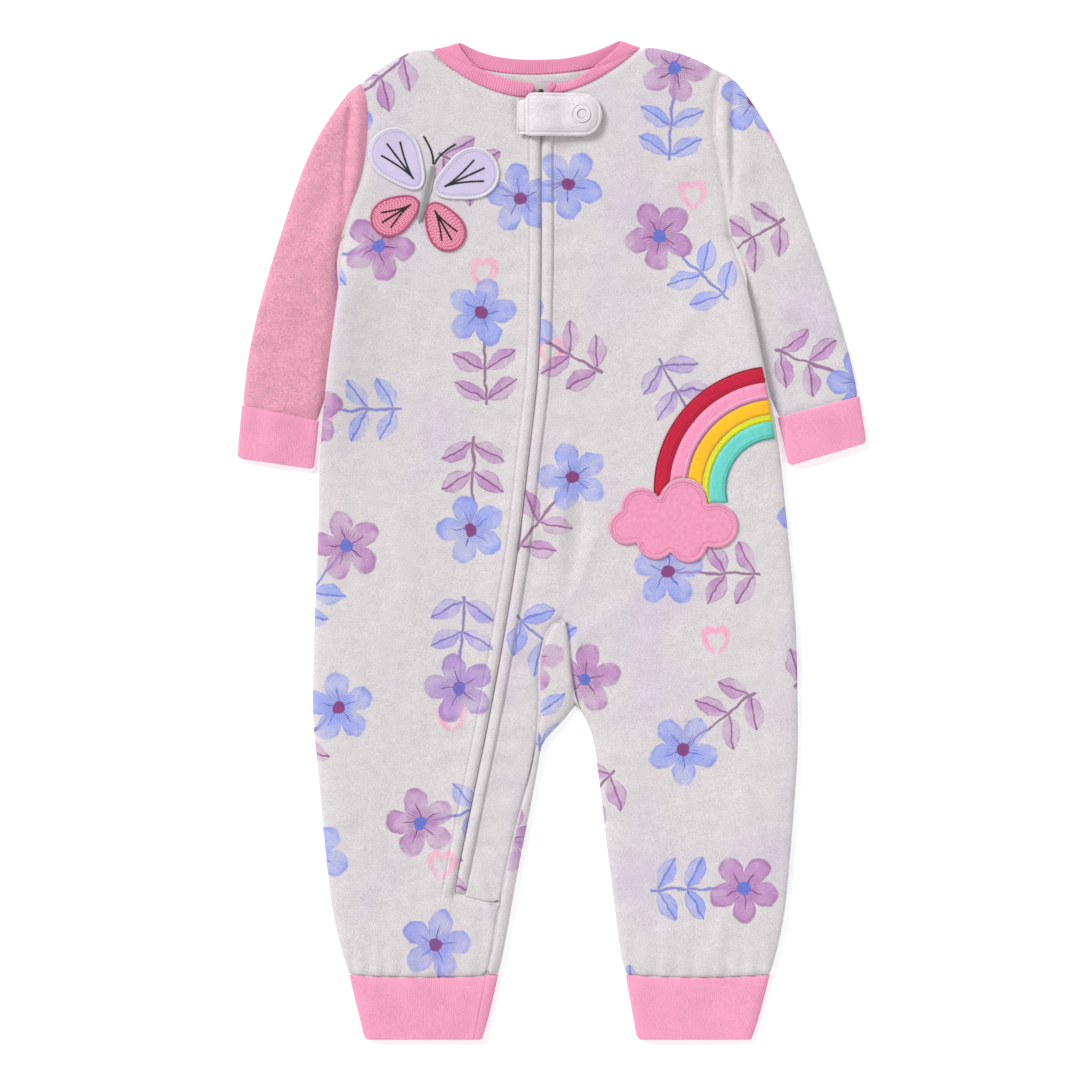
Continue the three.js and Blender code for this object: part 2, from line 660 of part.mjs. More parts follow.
function backZones(y) {
  const width = SHOULDER_LEFT_X - SHOULDER_RIGHT_X;
  return [
    { end: (NECK_RIGHT_X - SHOULDER_RIGHT_X) / width, near: SIDE, far: NONE, cells: 2 },
    { end: crotchStop(y), near: NONE, far: SIDE_FAR, cells: 5 },
    { end: (NECK_LEFT_X - SHOULDER_RIGHT_X) / width, near: SIDE, far: NONE, cells: 3 },
    { end: 1, near: NONE, far: SIDE_FAR, cells: 2 },
  ];
}

const backYoke = block({
  left: climb(armholeRight, PIT_Y, SHOULDER_Y),
  right: climb(armholeLeft, PIT_Y, SHOULDER_LEFT_Y),
  bottom: across([sideRight(PIT_Y), PIT_Y], [sideLeft(PIT_Y), PIT_Y]),
  top: topEdge(SHOULDER_RIGHT_X, SHOULDER_LEFT_X, 'back'),
}, YOKE_ROWS, backZones(PIT_Y));

const ROLL_COLUMNS = [0, 0.5, 0.82, 1];

// The back: a yoke, the trunk, two legs, and the right leg's inner thigh rolled over to the front.
function backPanel() {
  const levels = [...SEAT_LEVELS, ...TRUNK_LEVELS.slice(1)];
  const trunk = trunkGrid(levels, sideRight, sideLeft, backZones);
  const crotchRow = trunk[0];
  const split = crotchRow.findIndex((p) => p[0] > innerRight(CROTCH_Y) - 0.1);
  const rightLeg = legGrid(crotchRow.slice(0, split + 1), RIGHT_LEG);
  const leftLeg = legGrid(crotchRow.slice(split), LEFT_LEG);
  const gap = 1.5 * SEAM_GAP;
  const roll = (y, to, yAt) => ROLL_COLUMNS.map((u) => {
    const x = mix(inseam(y) + gap, to, u);
    return [x, yAt(x)];
  });
  const rolledLeg = LEG_LEVELS.map((y) => roll(y, innerRight(y), (x) => legY(x, y, RIGHT_LEG)));
  const rolledSeat = SEAT_LEVELS.map((y) => roll(y, lap(y), () => y)).slice(0, -1);
  return clothSolid([
    { grid: backYoke, wall: backWall, flip: true },
    { grid: trunk, wall: backWall, flip: true },
    { grid: rightLeg, wall: backWall, flip: true },
    { grid: leftLeg, wall: backWall, flip: true },
    { grid: rolledLeg, wall: rolledWall },
    { grid: rolledSeat, wall: rolledWall },
  ]);
}

const zipRight = (y) => zipAt(y) - ZIP_HALF_GAP;
const zipLeft = (y) => zipAt(y) + ZIP_HALF_GAP;
const NECK_FRONT_Y = ZIP[0].y;

const rightZones = [
  {
    end: (NECK_RIGHT_X - SHOULDER_RIGHT_X) / (zipRight(NECK_FRONT_Y) - SHOULDER_RIGHT_X),
    near: SIDE, far: NONE, cells: 2,
  },
  { end: 1, near: NONE, far: WELT_FAR, cells: 4 },
];

const rightYoke = block({
  left: climb(armholeRight, PIT_Y, SHOULDER_Y),
  right: climb(zipRight, PIT_Y, NECK_FRONT_Y),
  bottom: across([sideRight(PIT_Y), PIT_Y], [zipRight(PIT_Y), PIT_Y]),
  top: topEdge(SHOULDER_RIGHT_X, zipRight(NECK_FRONT_Y), 'front'),
}, YOKE_ROWS, rightZones);

// The ankle's middle column stands this far inside the zip's line at the hem.
const FOOT_INSET = 1.5;

// The short seam that closes the leg below the zip, from the zip's end to the inseam.
const INSEAM_TURN = legY(inseam(INSEAM_TURN_Y), INSEAM_TURN_Y, RIGHT_LEG);
const closingSeam = (t) => mix(ZIP_END_Y, INSEAM_TURN, Math.sin(t * Math.PI / 2));

// The right front: yoke, trunk and leg beside the zip, and the whole ankle below the zip's end.
function frontRight() {
  const trunk = trunkGrid(BODY_LEVELS.slice(ANKLE_LEVELS.length), sideRight, zipRight, () => rightZones);
  const middle = zipRight(ZIP_END_Y);
  const hem = (from, to) => (t) => [mix(from, to, t), legY(mix(from, to, t), HEM_Y, RIGHT_LEG)];
  const footX = middle - FOOT_INSET;
  const foot = hem(footX, footX)(0);
  const rows = ANKLE_LEVELS.length - 1;
  const ankle = block({
    left: climb(sideRight, HEM_Y, ZIP_END_Y),
    right: across(foot, [middle, ZIP_END_Y]),
    bottom: hem(sideRight(HEM_Y), footX),
    top: across([sideRight(ZIP_END_Y), ZIP_END_Y], [middle, ZIP_END_Y]),
  }, rows, rightZones);
  const insideAnkle = block({
    left: across(foot, [middle, ZIP_END_Y]),
    right: (t) => {
      const y = mix(HEM_Y, INSEAM_TURN_Y, t);
      return [inseam(y), legY(inseam(y), y, RIGHT_LEG)];
    },
    bottom: hem(footX, inseam(HEM_Y)),
    top: (t) => [mix(middle, inseam(INSEAM_TURN_Y), t), closingSeam(t)],
  }, rows, [{ end: 1, near: NONE, far: NONE, cells: 3 }]);
  return clothSolid([rightYoke, trunk, ankle, insideAnkle].map((grid) => ({ grid, wall: frontWall })));
}

// How far across the left front the column stands that runs down to the crotch's apex.
function apexStop(y) {
  const low = (CROTCH[0].lap - zipLeft(APEX_Y)) / (sideLeft(APEX_Y) - zipLeft(APEX_Y));
  return mix(FRONT_MIDDLE, low, smooth(PIT_Y, APEX_Y, y));
}

function leftZones(y) {
  const width = SHOULDER_LEFT_X - zipLeft(NECK_FRONT_Y);
  return [
    { end: apexStop(y), near: WELT, far: NONE, cells: 2 },
    { end: (NECK_LEFT_X - zipLeft(NECK_FRONT_Y)) / width, near: SIDE, far: NONE, cells: 3 },
    { end: 1, near: NONE, far: SIDE_FAR, cells: 3 },
  ];
}

const leftYoke = block({
  left: climb(zipLeft, PIT_Y, NECK_FRONT_Y),
  right: climb(armholeLeft, PIT_Y, SHOULDER_LEFT_Y),
  bottom: across([zipLeft(PIT_Y), PIT_Y], [sideLeft(PIT_Y), PIT_Y]),
  top: topEdge(zipLeft(NECK_FRONT_Y), SHOULDER_LEFT_X, 'front'),
}, YOKE_ROWS, leftZones(PIT_Y));

// The left front: yoke, trunk, the strip between the zip and the right inseam, and the left leg.
function frontLeft() {
  const trunk = trunkGrid(TRUNK_LEVELS, zipLeft, sideLeft, leftZones);
  const apexRow = trunk[0];
  const split = apexRow.findIndex((p) => p[0] > CROTCH[0].lap - 0.1);
  const stripTop = apexRow.slice(0, split + 1);
  const stripLevels = [...THIGH_LEVELS, ...SEAT_LEVELS.slice(1)];
  const strip = stripLevels.map((y, j) => {
    if (y === APEX_Y) return stripTop;
    const end = j === 0 ? inseam(INSEAM_TURN_Y) : inseam(y);
    const from = zipLeft(y);
    return likeRow(stripTop, from, end, (x) => (
      j === 0 ? closingSeam((x - from) / (end - from)) + 2 * SEAM_GAP : y
    ));
  });
  const seatTop = apexRow.slice(split);
  const seat = SEAT_LEVELS.map((y) => (
    y === APEX_Y ? seatTop : likeRow(seatTop, lap(y) + LAP_GAP, sideLeft(y), () => y)
  ));
  const leg = legGrid(seat[0], LEFT_LEG, (y) => LAP_GAP * smooth(CROTCH_Y - 30, CROTCH_Y, y));
  return clothSolid([leftYoke, trunk, strip, seat, leg].map((grid) => ({ grid, wall: frontWall })));
}

// A flattened tube over blocks of plan points, rounded and closed along its side lines.
function flatTube(grids, sides, thickness, heightAt) {
  const wall = (face) => (p) => {
    const edge = nearest(sides, p);
    const round = roundness(edge.distance / EDGE_ROUND);
    const inset = thickness * (1 - clamp(edge.distance / EDGE_ROUND));
    const seam = CUFF_HEIGHT / 2;
    const reach = face > 0 ? heightAt(p) - seam : seam;
    return {
      outer: [p[0], p[1], seam + face * reach * round],
      inner: [p[0] + edge.away[0] * inset, p[1] + edge.away[1] * inset,
        seam + face * (reach - thickness) * round],
    };
  };
  return clothSolid([
    ...grids.map((grid) => ({ grid, wall: wall(1) })),
    ...grids.map((grid) => ({ grid, wall: wall(-1), flip: true })),
  ]);
}

// A sleeve: a block beside the armhole and one from the pit to the cuff, puffed along the armhole.
// side is -1 for the right sleeve and 1 for the left.
function sleeve({ outer, inner }, armholeAt, side) {
  const outerAt = (y) => read(outer, 'y', 'x', y);
  const innerAt = (y) => read(inner, 'y', 'x', y);
  const armhole = (y) => armholeAt(y) + side * ARMHOLE_GAP;
  const [tipY, cuffOuterY] = [outer[0].y, outer[outer.length - 1].y];
  const cuffInnerY = inner[inner.length - 1].y;
  const zones = [{ end: 1, near: SIDE, far: SIDE_FAR, cells: 3 }];
  const grid = (outside, inside, bottom, top, rows) => block({
    left: side < 0 ? outside : inside,
    right: side < 0 ? inside : outside,
    bottom: side < 0 ? bottom : (t) => bottom(1 - t),
    top: side < 0 ? top : (t) => top(1 - t),
  }, rows, zones);
  const tip = [outerAt(tipY), tipY];
  const pitLine = across([outerAt(PIT_Y), PIT_Y], [armhole(PIT_Y), PIT_Y]);
  const cuffLine = across([outerAt(cuffOuterY), cuffOuterY], [innerAt(cuffInnerY), cuffInnerY]);
  const upper = grid(
    climb(outerAt, PIT_Y, tipY),
    (t) => (t === 1 ? tip : [armhole(mix(PIT_Y, tipY, t)), mix(PIT_Y, tipY, t)]),
    pitLine, () => tip, YOKE_ROWS,
  );
  const lower = grid(climb(outerAt, cuffOuterY, PIT_Y), (t) => {
    const y = mix(cuffInnerY, PIT_Y, t);
    return [t === 1 ? armhole(PIT_Y) : innerAt(y), y];
  }, cuffLine, pitLine, SLEEVE_ROWS);
  const outside = sample(climb(outerAt, cuffOuterY, tipY), LINE_STEPS);
  const inside = sample(climb(innerAt, cuffInnerY, PIT_Y), LINE_STEPS);
  const sides = side < 0 ? [[...outside].reverse(), inside] : [outside, [...inside].reverse()];
  const seamPoints = [sample(climb(armhole, PIT_Y, tipY), LINE_STEPS)];
  const height = (p) => {
    const off = nearest(seamPoints, p).distance;
    const level = mix(FRONT_HEIGHT, SLEEVE_HEIGHT, smooth(SLEEVE_LEVEL.from, SLEEVE_LEVEL.to, off));
    return level + bump(PUFF, off) + bump(PUFF_CREASE, off);
  };
  return flatTube([upper, lower], sides, CLOTH, height);
}

function cuff({ sewn, free, sag }) {
  const bow = (a, b) => (t) => {
    const p = mixPoint(a, b, t);
    return [p[0], p[1] + sag * 4 * t * (1 - t)];
  };
  const grid = block({
    left: across(free[0], sewn[0]),
    right: across(free[1], sewn[1]),
    bottom: across(free[0], free[1]),
    top: bow(sewn[0], sewn[1]),
  }, CUFF_ROWS, [{ end: 1, near: SIDE, far: SIDE_FAR, cells: CUFF_CELLS }]);
  const sides = [grid.map((row) => row[0]).reverse(), grid.map((row) => row[row.length - 1])];
  return flatTube([grid], sides, RIB, () => CUFF_HEIGHT);
}

// The neck binding: two front strips and the back strip, folded into each other at the shoulders.
// Each strip starts from the points of the neck edge that it is sewn to.
function neckBinding() {
  const [earRight, earLeft] = [BINDING[0], BINDING[BINDING.length - 1]];
  const strip = (yoke, side, [seamFrom, seamTo], [freeFrom, freeTo]) => {
    const edge = yoke[yoke.length - 1].map(([x]) => x);
    const inside = edge.filter((x) => x > seamFrom + 0.2 && x < seamTo - 0.2);
    const xs = [seamFrom, ...inside, seamTo];
    return BINDING_ROWS.map((v) => xs.map((x) => {
      const u = (x - seamFrom) / (seamTo - seamFrom);
      const freeX = mix(freeFrom, freeTo, u);
      const seam = [x, read(NECK, 'x', side, x) + BINDING_RISE];
      return mixPoint(seam, [freeX, read(BINDING, 'x', side, freeX)], v);
    }));
  };
  const { rightSeam, rightFree, leftSeam, leftFree } = BINDING_END;
  const right = strip(rightYoke, 'front', [NECK_RIGHT_X, rightSeam], [earRight.x, rightFree]);
  const left = strip(leftYoke, 'front', [leftSeam, NECK_LEFT_X], [leftFree, earLeft.x]);
  const back = strip(backYoke, 'back', [NECK_RIGHT_X, NECK_LEFT_X], [earRight.x, earLeft.x]);
  const foldLines = [
    [[earRight.x, earRight.front], [NECK_RIGHT_X, NECK[0].front + BINDING_RISE]],
    [[NECK_LEFT_X, NECK[NECK.length - 1].front + BINDING_RISE], [earLeft.x, earLeft.front]],
  ];
  const wall = (face) => (p) => {
    const off = nearest(foldLines, p).distance / EDGE_ROUND;
    const round = roundness(off);
    const inset = RIB * (1 - clamp(off));
    const inward = p[0] < ZIP[0].x ? 1 : -1;
    const reach = face > 0 ? FRONT_HEIGHT + BINDING_RISE - SEAM_HEIGHT : SEAM_HEIGHT;
    return {
      outer: [p[0], p[1], SEAM_HEIGHT + face * reach * round],
      inner: [p[0] + inward * BINDING_INSET.x * inset, p[1] + BINDING_INSET.y * inset,
        SEAM_HEIGHT + face * (reach - RIB) * round],
    };
  };
  return clothSolid([
    { grid: right, wall: wall(1) },
    { grid: left, wall: wall(1) },
    { grid: back, wall: wall(-1), flip: true },
  ]);
}

// A strip that follows the zip, between two levels.
function zipStrip({ halfWidth, bottom, thick, fromY, toY }) {
  const rows = rowsFor(toY - fromY);
  const grid = Array.from({ length: rows + 1 }, (_, j) => {
    const y = mix(fromY, toY, j / rows);
    return [-halfWidth, halfWidth].map((off) => [zipAt(y) + off, y]);
  });
  const wall = (p) => ({ outer: [...p, bottom + thick], inner: [...p, bottom] });
  return clothSolid([{ grid, wall }]);
}

const COVER = FRONT_HEIGHT + WELT_RISE + GUARD_ROOM.front;

function box(halfWidth, bottomY, topY, z, thick) {
  const geometry = new THREE.BoxGeometry(2 * halfWidth, topY - bottomY, thick);
  geometry.translate(zipAt(topY), (bottomY + topY) / 2, z + thick / 2);
  return geometry;
}

// How high the guard's underside lies: on the fronts, and over the slider, pull and stud.
function guardFloor(p) {
  const room = GUARD_ROOM;
  const fromZip = Math.abs(p[0] - ZIP[0].x) - SLIDER.halfWidth;
  const fromSnap = Math.hypot(p[0] - SNAP.x, p[1] - SNAP.y) - SNAP.outerRadius;
  const overSlider = (SLIDER.thick + room.slider) * smooth(room.sliderFar, room.sliderNear, fromZip);
  return COVER + overSlider + room.stud * smooth(room.studFar, room.studNear, fromSnap);
}

function guardHalfLength(x) {
  const start = GUARD.right - GUARD.endRound;
  const half = (GUARD.top - GUARD.bottom) / 2;
  if (x < start) return half;
  const t = clamp((x - start) / GUARD.endRound);
  return half * mix(GUARD_TIP, 1, Math.sqrt(1 - t * t));
}

function chinGuard() {
  const middle = (GUARD.bottom + GUARD.top) / 2;
  const grid = GUARD_ROWS.map((v) => GUARD_COLUMNS.map((u) => {
    const x = mix(GUARD.left, GUARD.right, u);
    return [x, middle + v * guardHalfLength(x)];
  }));
  const rim = [
    ...grid[0],
    ...grid.map((row) => row[row.length - 1]),
    ...[...grid[grid.length - 1]].reverse(),
    ...grid.map((row) => row[0]).reverse(),
  ].filter((p, i, all) => i === 0 || Math.hypot(p[0] - all[i - 1][0], p[1] - all[i - 1][1]) > 0.01);
  const wall = (p) => {
    const round = roundness(nearest([rim], p).distance / GUARD.round);
    const middleZ = guardFloor(p) + GUARD.thick / 2;
    const half = mix(GUARD_EDGE, GUARD.thick / 2, round);
    return { outer: [...p, middleZ + half], inner: [...p, middleZ - half] };
  };
  return clothSolid([{ grid, wall }]);
}

const ROUND_SIDES = 20;
const RING_BEVEL = 0.4;

function ring(x, y, z, outerRadius, holeRadius, thick) {
  const brow = thick - RING_BEVEL;
  const profile = [
    [holeRadius, 0], [outerRadius, 0], [outerRadius, brow],
    [outerRadius - RING_BEVEL, thick], [holeRadius + RING_BEVEL, thick], [holeRadius, brow], [holeRadius, 0],
  ].map(([r, h]) => new THREE.Vector2(r, h));
  const geometry = new THREE.LatheGeometry(profile, ROUND_SIDES);
  geometry.rotateX(Math.PI / 2);
  geometry.translate(x, y, z);
  return geometry;
}

function disc(x, y, z, radius, thick) {
  const geometry = new THREE.CylinderGeometry(radius, radius, thick, ROUND_SIDES);
  geometry.rotateX(Math.PI / 2);
  geometry.translate(x, y, z + thick / 2);
  return geometry;
}

// Height of the fronts' upper face over a plan point, read from the panels' own triangles.
function frontTop([x, y]) {
  for (const { position, index } of frontFaces) {
    for (let i = 0; i < index.length; i += 3) {
      const [a, b, c] = [0, 1, 2].map((k) => index[i + k] * 3);
      const [ax, ay, bx, by] = [position[a], position[a + 1], position[b], position[b + 1]];
      const [cx, cy] = [position[c], position[c + 1]];
      const area = (bx - ax) * (cy - ay) - (cx - ax) * (by - ay);
      if (area > 1e-6) {
        const u = ((x - ax) * (cy - ay) - (cx - ax) * (y - ay)) / area;
        const v = ((bx - ax) * (y - ay) - (x - ax) * (by - ay)) / area;
        if (u >= -1e-9 && v >= -1e-9 && u + v <= 1 + 1e-9) {
          return position[a + 2] * (1 - u - v) + position[b + 2] * u + position[c + 2] * v;
        }
      }
    }
  }
  return frontWall([x, y]).outer[2];
}

// A patch made from the front's own surface points, moved out along its normal.
function patchWall(p) {
  const step = SLOPE_STEP;
  const slopeX = (frontTop([p[0] + step, p[1]]) - frontTop([p[0] - step, p[1]])) / (2 * step);
  const slopeY = (frontTop([p[0], p[1] + step]) - frontTop([p[0], p[1] - step])) / (2 * step);
  const normal = new THREE.Vector3(-slopeX, -slopeY, 1).normalize();
  const height = frontTop(p);
  const move = (distance) => [
    p[0] + normal.x * distance, p[1] + normal.y * distance, height + normal.z * distance,
  ];
  return { outer: move(PATCH_GAP + PATCH), inner: move(PATCH_GAP) };
}

// A patch whose rim is given by its reach from the centre in every direction.
function roundPatch(centre, reach, spokes, rings) {
  const grid = rings.map((share) => Array.from({ length: spokes + 1 }, (_, i) => {
    const angle = 2 * Math.PI * (i / spokes);
    const radius = share * reach(angle);
    return [centre.x + radius * Math.cos(angle), centre.y + radius * Math.sin(angle)];
  }));
  return clothSolid([{ grid, wall: patchWall }]);
}

function cloudReach(angle) {
  const direction = [Math.cos(angle), Math.sin(angle)];
  let reach = 0;
  for (const lobe of CLOUD_LOBES) {
    const along = lobe.x * direction[0] + lobe.y * direction[1];
    const off = lobe.x * direction[1] - lobe.y * direction[0];
    if (Math.abs(off) < lobe.radius) {
      reach = Math.max(reach, along + Math.sqrt(lobe.radius ** 2 - off ** 2));
    }
  }
  return reach;
}

const BAND_CELL = 8;
const ANGLE_STEP = 0.004;
const SEAM_TRIES = 12;

// A band of the rainbow, from the left side seam down to the cloud.
function rainbowBand({ outer, inner }) {
  const count = 4 + Math.round(outer / BAND_CELL);
  const cloudAngle = (radius) => {
    let angle = RAINBOW.lowest;
    const clear = () => {
      const off = [
        RAINBOW.x + radius * Math.cos(angle) - CLOUD.x,
        RAINBOW.y + radius * Math.sin(angle) - CLOUD.y,
      ];
      return Math.hypot(...off) - cloudReach(Math.atan2(off[1], off[0]));
    };
    while (clear() < 2 * PATCH_GAP) angle -= ANGLE_STEP;
    return angle;
  };
  const seamAngle = (radius) => {
    let angle = Math.PI / 2;
    for (let i = 0; i < SEAM_TRIES; i += 1) {
      const y = RAINBOW.y + radius * Math.sin(angle);
      angle = Math.acos((sideLeft(y) - RAINBOW.seamInset - RAINBOW.x) / radius);
    }
    return angle;
  };
  const grid = [outer, (outer + inner) / 2, inner].map((radius) => (
    Array.from({ length: count + 1 }, (_, i) => {
      const share = 1 - (1 - i / count) ** RAINBOW.easing;
      const angle = mix(cloudAngle(radius), seamAngle(radius), share);
      return [RAINBOW.x + radius * Math.cos(angle), RAINBOW.y + radius * Math.sin(angle)];
    })
  ));
  return clothSolid([{ grid: grid.reverse(), wall: patchWall }]);
}

const WING_SPOKES = 20;
const WING_RINGS = [1, 0.5, 0];
const CLOUD_SPOKES = 40;
const CLOUD_RINGS = [1, 0.66, 0.33, 0];

function butterflyPiece({ distance, long, wide, heading, flare }) {
  const axis = THREE.MathUtils.degToRad(heading + BUTTERFLY.turn);
  const centre = {
    x: BUTTERFLY.x + distance * Math.cos(axis),
    y: BUTTERFLY.y + distance * Math.sin(axis),
  };
  const reach = (angle) => {
    const local = angle - axis;
    const width = wide * (1 + flare * Math.cos(local));
    return (long * width) / Math.hypot(width * Math.cos(local), long * Math.sin(local));
  };
  return roundPatch(centre, reach, WING_SPOKES, WING_RINGS);
}

add('back_panel', backPanel(), FLEECE);
for (const [node, geometry] of [['front_panel_right', frontRight()], ['front_panel_left', frontLeft()]]) {
  add(node, geometry, FLEECE);
  frontFaces.push({ position: geometry.attributes.position.array, index: geometry.index.array });
}
add('sleeve_right', sleeve(SLEEVE_RIGHT, armholeRight, -1), PINK_FLEECE);
add('sleeve_left', sleeve(SLEEVE_LEFT, armholeLeft, 1), FLEECE);
for (const row of CUFFS) add(row.node, cuff(row), PINK_RIB);
add('neck_binding', neckBinding(), PINK_RIB);
add('zip_tape', zipStrip(TAPE), ZIP_WHITE);
add('zip_coil', zipStrip(COIL), ZIP_WHITE);
add('zip_slider', box(SLIDER.halfWidth, SLIDER.bottom, SLIDER.top, COVER, SLIDER.thick), SLIDER_BLACK);
add('zip_pull', box(PULL.halfWidth, PULL.bottom, PULL.top, COVER, PULL.thick), SLIDER_BLACK);
add('chin_guard', chinGuard(), FLEECE);
const snapTop = guardFloor([SNAP.x, SNAP.y]) + GUARD.thick + SEAM_GAP;
add('snap_ring', ring(SNAP.x, SNAP.y, snapTop, SNAP.outerRadius, SNAP.holeRadius, SNAP.thick), SNAP_WHITE);
add('snap_stud', disc(SNAP.x, SNAP.y, FRONT_HEIGHT + SNAP.studGap, SNAP.studRadius, SNAP.thick), SNAP_WHITE);
add('cloud_patch', roundPatch(CLOUD, cloudReach, CLOUD_SPOKES, CLOUD_RINGS), PINK_RIB);
for (const band of BANDS) {
  const felt = new THREE.MeshStandardMaterial({ color: band.colour, roughness: 0.95, metalness: 0 });
  add(band.node, rainbowBand(band), felt);
}
for (const piece of BUTTERFLY_PIECES) {
  const upper = piece.node.includes('upper');
  const body = piece.node.includes('body');
  add(piece.node, butterflyPiece(piece), body ? SILVER : (upper ? SATIN : STITCH_PINK));
}

export default romper;
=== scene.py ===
import math

import bmesh
import bpy
import numpy as np
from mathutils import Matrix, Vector
from mathutils.bvhtree import BVHTree


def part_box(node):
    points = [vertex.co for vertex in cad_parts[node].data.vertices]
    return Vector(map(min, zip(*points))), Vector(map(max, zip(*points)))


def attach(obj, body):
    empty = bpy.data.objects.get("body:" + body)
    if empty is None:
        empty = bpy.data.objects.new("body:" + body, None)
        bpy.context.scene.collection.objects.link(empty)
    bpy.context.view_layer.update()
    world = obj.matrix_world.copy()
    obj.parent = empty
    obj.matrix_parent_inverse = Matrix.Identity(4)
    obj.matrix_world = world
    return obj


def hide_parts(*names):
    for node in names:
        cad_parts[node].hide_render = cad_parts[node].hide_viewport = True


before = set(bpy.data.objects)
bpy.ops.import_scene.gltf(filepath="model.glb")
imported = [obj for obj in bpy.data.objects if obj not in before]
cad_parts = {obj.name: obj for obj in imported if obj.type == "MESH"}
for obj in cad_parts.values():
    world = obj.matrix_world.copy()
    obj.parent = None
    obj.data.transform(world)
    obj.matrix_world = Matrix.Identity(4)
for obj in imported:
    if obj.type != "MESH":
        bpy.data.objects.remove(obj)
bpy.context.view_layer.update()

bl_info = {
    "name": "Baby romper, laid flat",
    "version": (1, 0, 0),
    "blender": (4, 5, 0),
    "location": "View3D > Sidebar > Romper",
    "description": "A footless fleece romper with a zip, rib cuffs and sewn patches, laid flat",
    "category": "Object",
}

# Plan sizes are in millimetres, as a pattern cutter writes them. +X is the wearer's left, +Y runs
# from the feet to the neck and +Z is up from the surface the garment lies on.
MM = 0.001

# The zip's line as (y, x), the welts beside it, and the neck seams of the front and the back.
ZIP = [
    (272.2, -6.8), (150, -6.8), (100, -8.7), (50, -14.4), (0, -20.0), (-60, -29.6),
    (-120, -40.6), (-180, -52.9), (-220.4, -60.8),
]
ZIP_TOP, ZIP_END = ZIP[0][0], ZIP[-1][0]
ZIP_HALF_GAP = 0.9
WELT_WIDTH = 6.4
NECK_FRONT = [
    (-78.7, 305.7), (-71, 296.0), (-63, 289.6), (-53, 283.4), (-41, 277.5), (-25, 272.8),
    (-6.8, 272.2), (12, 276.6), (22, 280.2), (35, 287.5), (45, 294.2), (58.3, 305.4),
]
NECK_BACK = [
    (-78.7, 305.7), (-71, 301.2), (-63, 296.9), (-53, 292.7), (-41, 289.2), (-25, 286.9),
    (-6.8, 286.6), (12, 288.3), (22, 289.8), (35, 293.4), (45, 297.7), (58.3, 305.4),
]
# The body's outline where the front meets the back, as (y, right side, left side).
SIDES = [
    (185, -129.6, 110.4), (130, -136.0, 127.0), (70, -142.8, 139.4), (10, -145.2, 146.1),
    (-50, -147.7, 151.4), (-110, -148.8, 152.9), (-200, -140.4, 147.8), (-272, -125.9, 135.4),
]
HEM_Y = -270.0
HEM_SAG = 1.8
CUFF_HEIGHT = 5.4
CUFF_WALL = 2.0

# The main folds, soft ridges and troughs along a straight stretch: from, to, half width and rise.
FOLDS = [
    ((-36, 0), (-50, -100), 6, 0.8), ((4, 66), (2, -30), 7, 0.8), ((18, 20), (10, -44), 6, -0.6),
    ((-124, 181), (-92, 158), 6, 0.9), ((106, 181), (80, 150), 6, 0.9),
    ((-66, -160), (-54, -182), 3, 0.7), ((-70, -186), (-60, -206), 3, 0.7),
    ((112, -150), (134, -196), 5, 0.9), ((96, -176), (118, -220), 6, -0.7),
    ((-118, -176), (-96, -214), 6, 0.7), ((14, -56), (20, -100), 3.5, 1.0),
    ((44, -40), (18, -60), 6, 0.8), ((-8, -40), (-22, -64), 5, 0.6),
    ((-100, 40), (-84, -60), 9, 0.6), ((120, -10), (104, -90), 9, 0.6),
]
# The shares of its length over which a fold fades, past its ends and before them.
FOLD_END, FOLD_FULL = 0.2, 0.3

# The chin guard's edges, the round of its free end, and the middle of its snap.
GUARD = {"right": 31.0, "bottom": 248.2, "top": 275.2, "end_round": 12}
SNAP = (18.6, 261.8)

# The cloud's middle, and each lobe's place from there and radius.
CLOUD = (75.2, 9.6)
CLOUD_LOBES = [(-20, 9, 12.5), (6, 12, 15), (26, -2, 14), (9, -13, 12), (-11, -11, 12), (-29, -3, 11)]
# The middle of the rainbow's arcs, how far it stays from the side seam, and each band's outer and
# inner radius and colour.
RAINBOW = (138.9, 30.4)
RAINBOW_SEAM_INSET = 2.8
BANDS = [
    ("rainbow_crimson", 76.0, 66.0, "crimson"), ("rainbow_pink", 65.7, 55.5, "band_pink"),
    ("rainbow_amber", 55.2, 46.0, "amber"), ("rainbow_lemon", 45.7, 42.0, "lemon"),
    ("rainbow_turquoise", 41.7, 31.0, "turquoise"),
]
# The butterfly's thorax and turn. Each wing and the body: distance from the thorax, half length, half
# width, heading in degrees and flare.
BUTTERFLY = (-78, 212)
BUTTERFLY_TURN = math.radians(-14)
WINGS = [
    ("butterfly_wing_upper_right", 27, 21.5, 15, 141, 0.28),
    ("butterfly_wing_upper_left", 27, 21.5, 15, 39, 0.28),
    ("butterfly_wing_lower_right", 22, 16.5, 11.5, 226, 0.2),
    ("butterfly_wing_lower_left", 22, 16.5, 11.5, 314, 0.2),
    ("butterfly_body", 1, 19, 2.6, 90, 0.1),
]


def linear(code):
    """An sRGB hex colour as the linear one that shaders take."""
    parts = [int(code[i:i + 2], 16) / 255 for i in (1, 3, 5)]
    return [part / 12.92 if part <= 0.04045 else ((part + 0.055) / 1.055) ** 2.4 for part in parts]


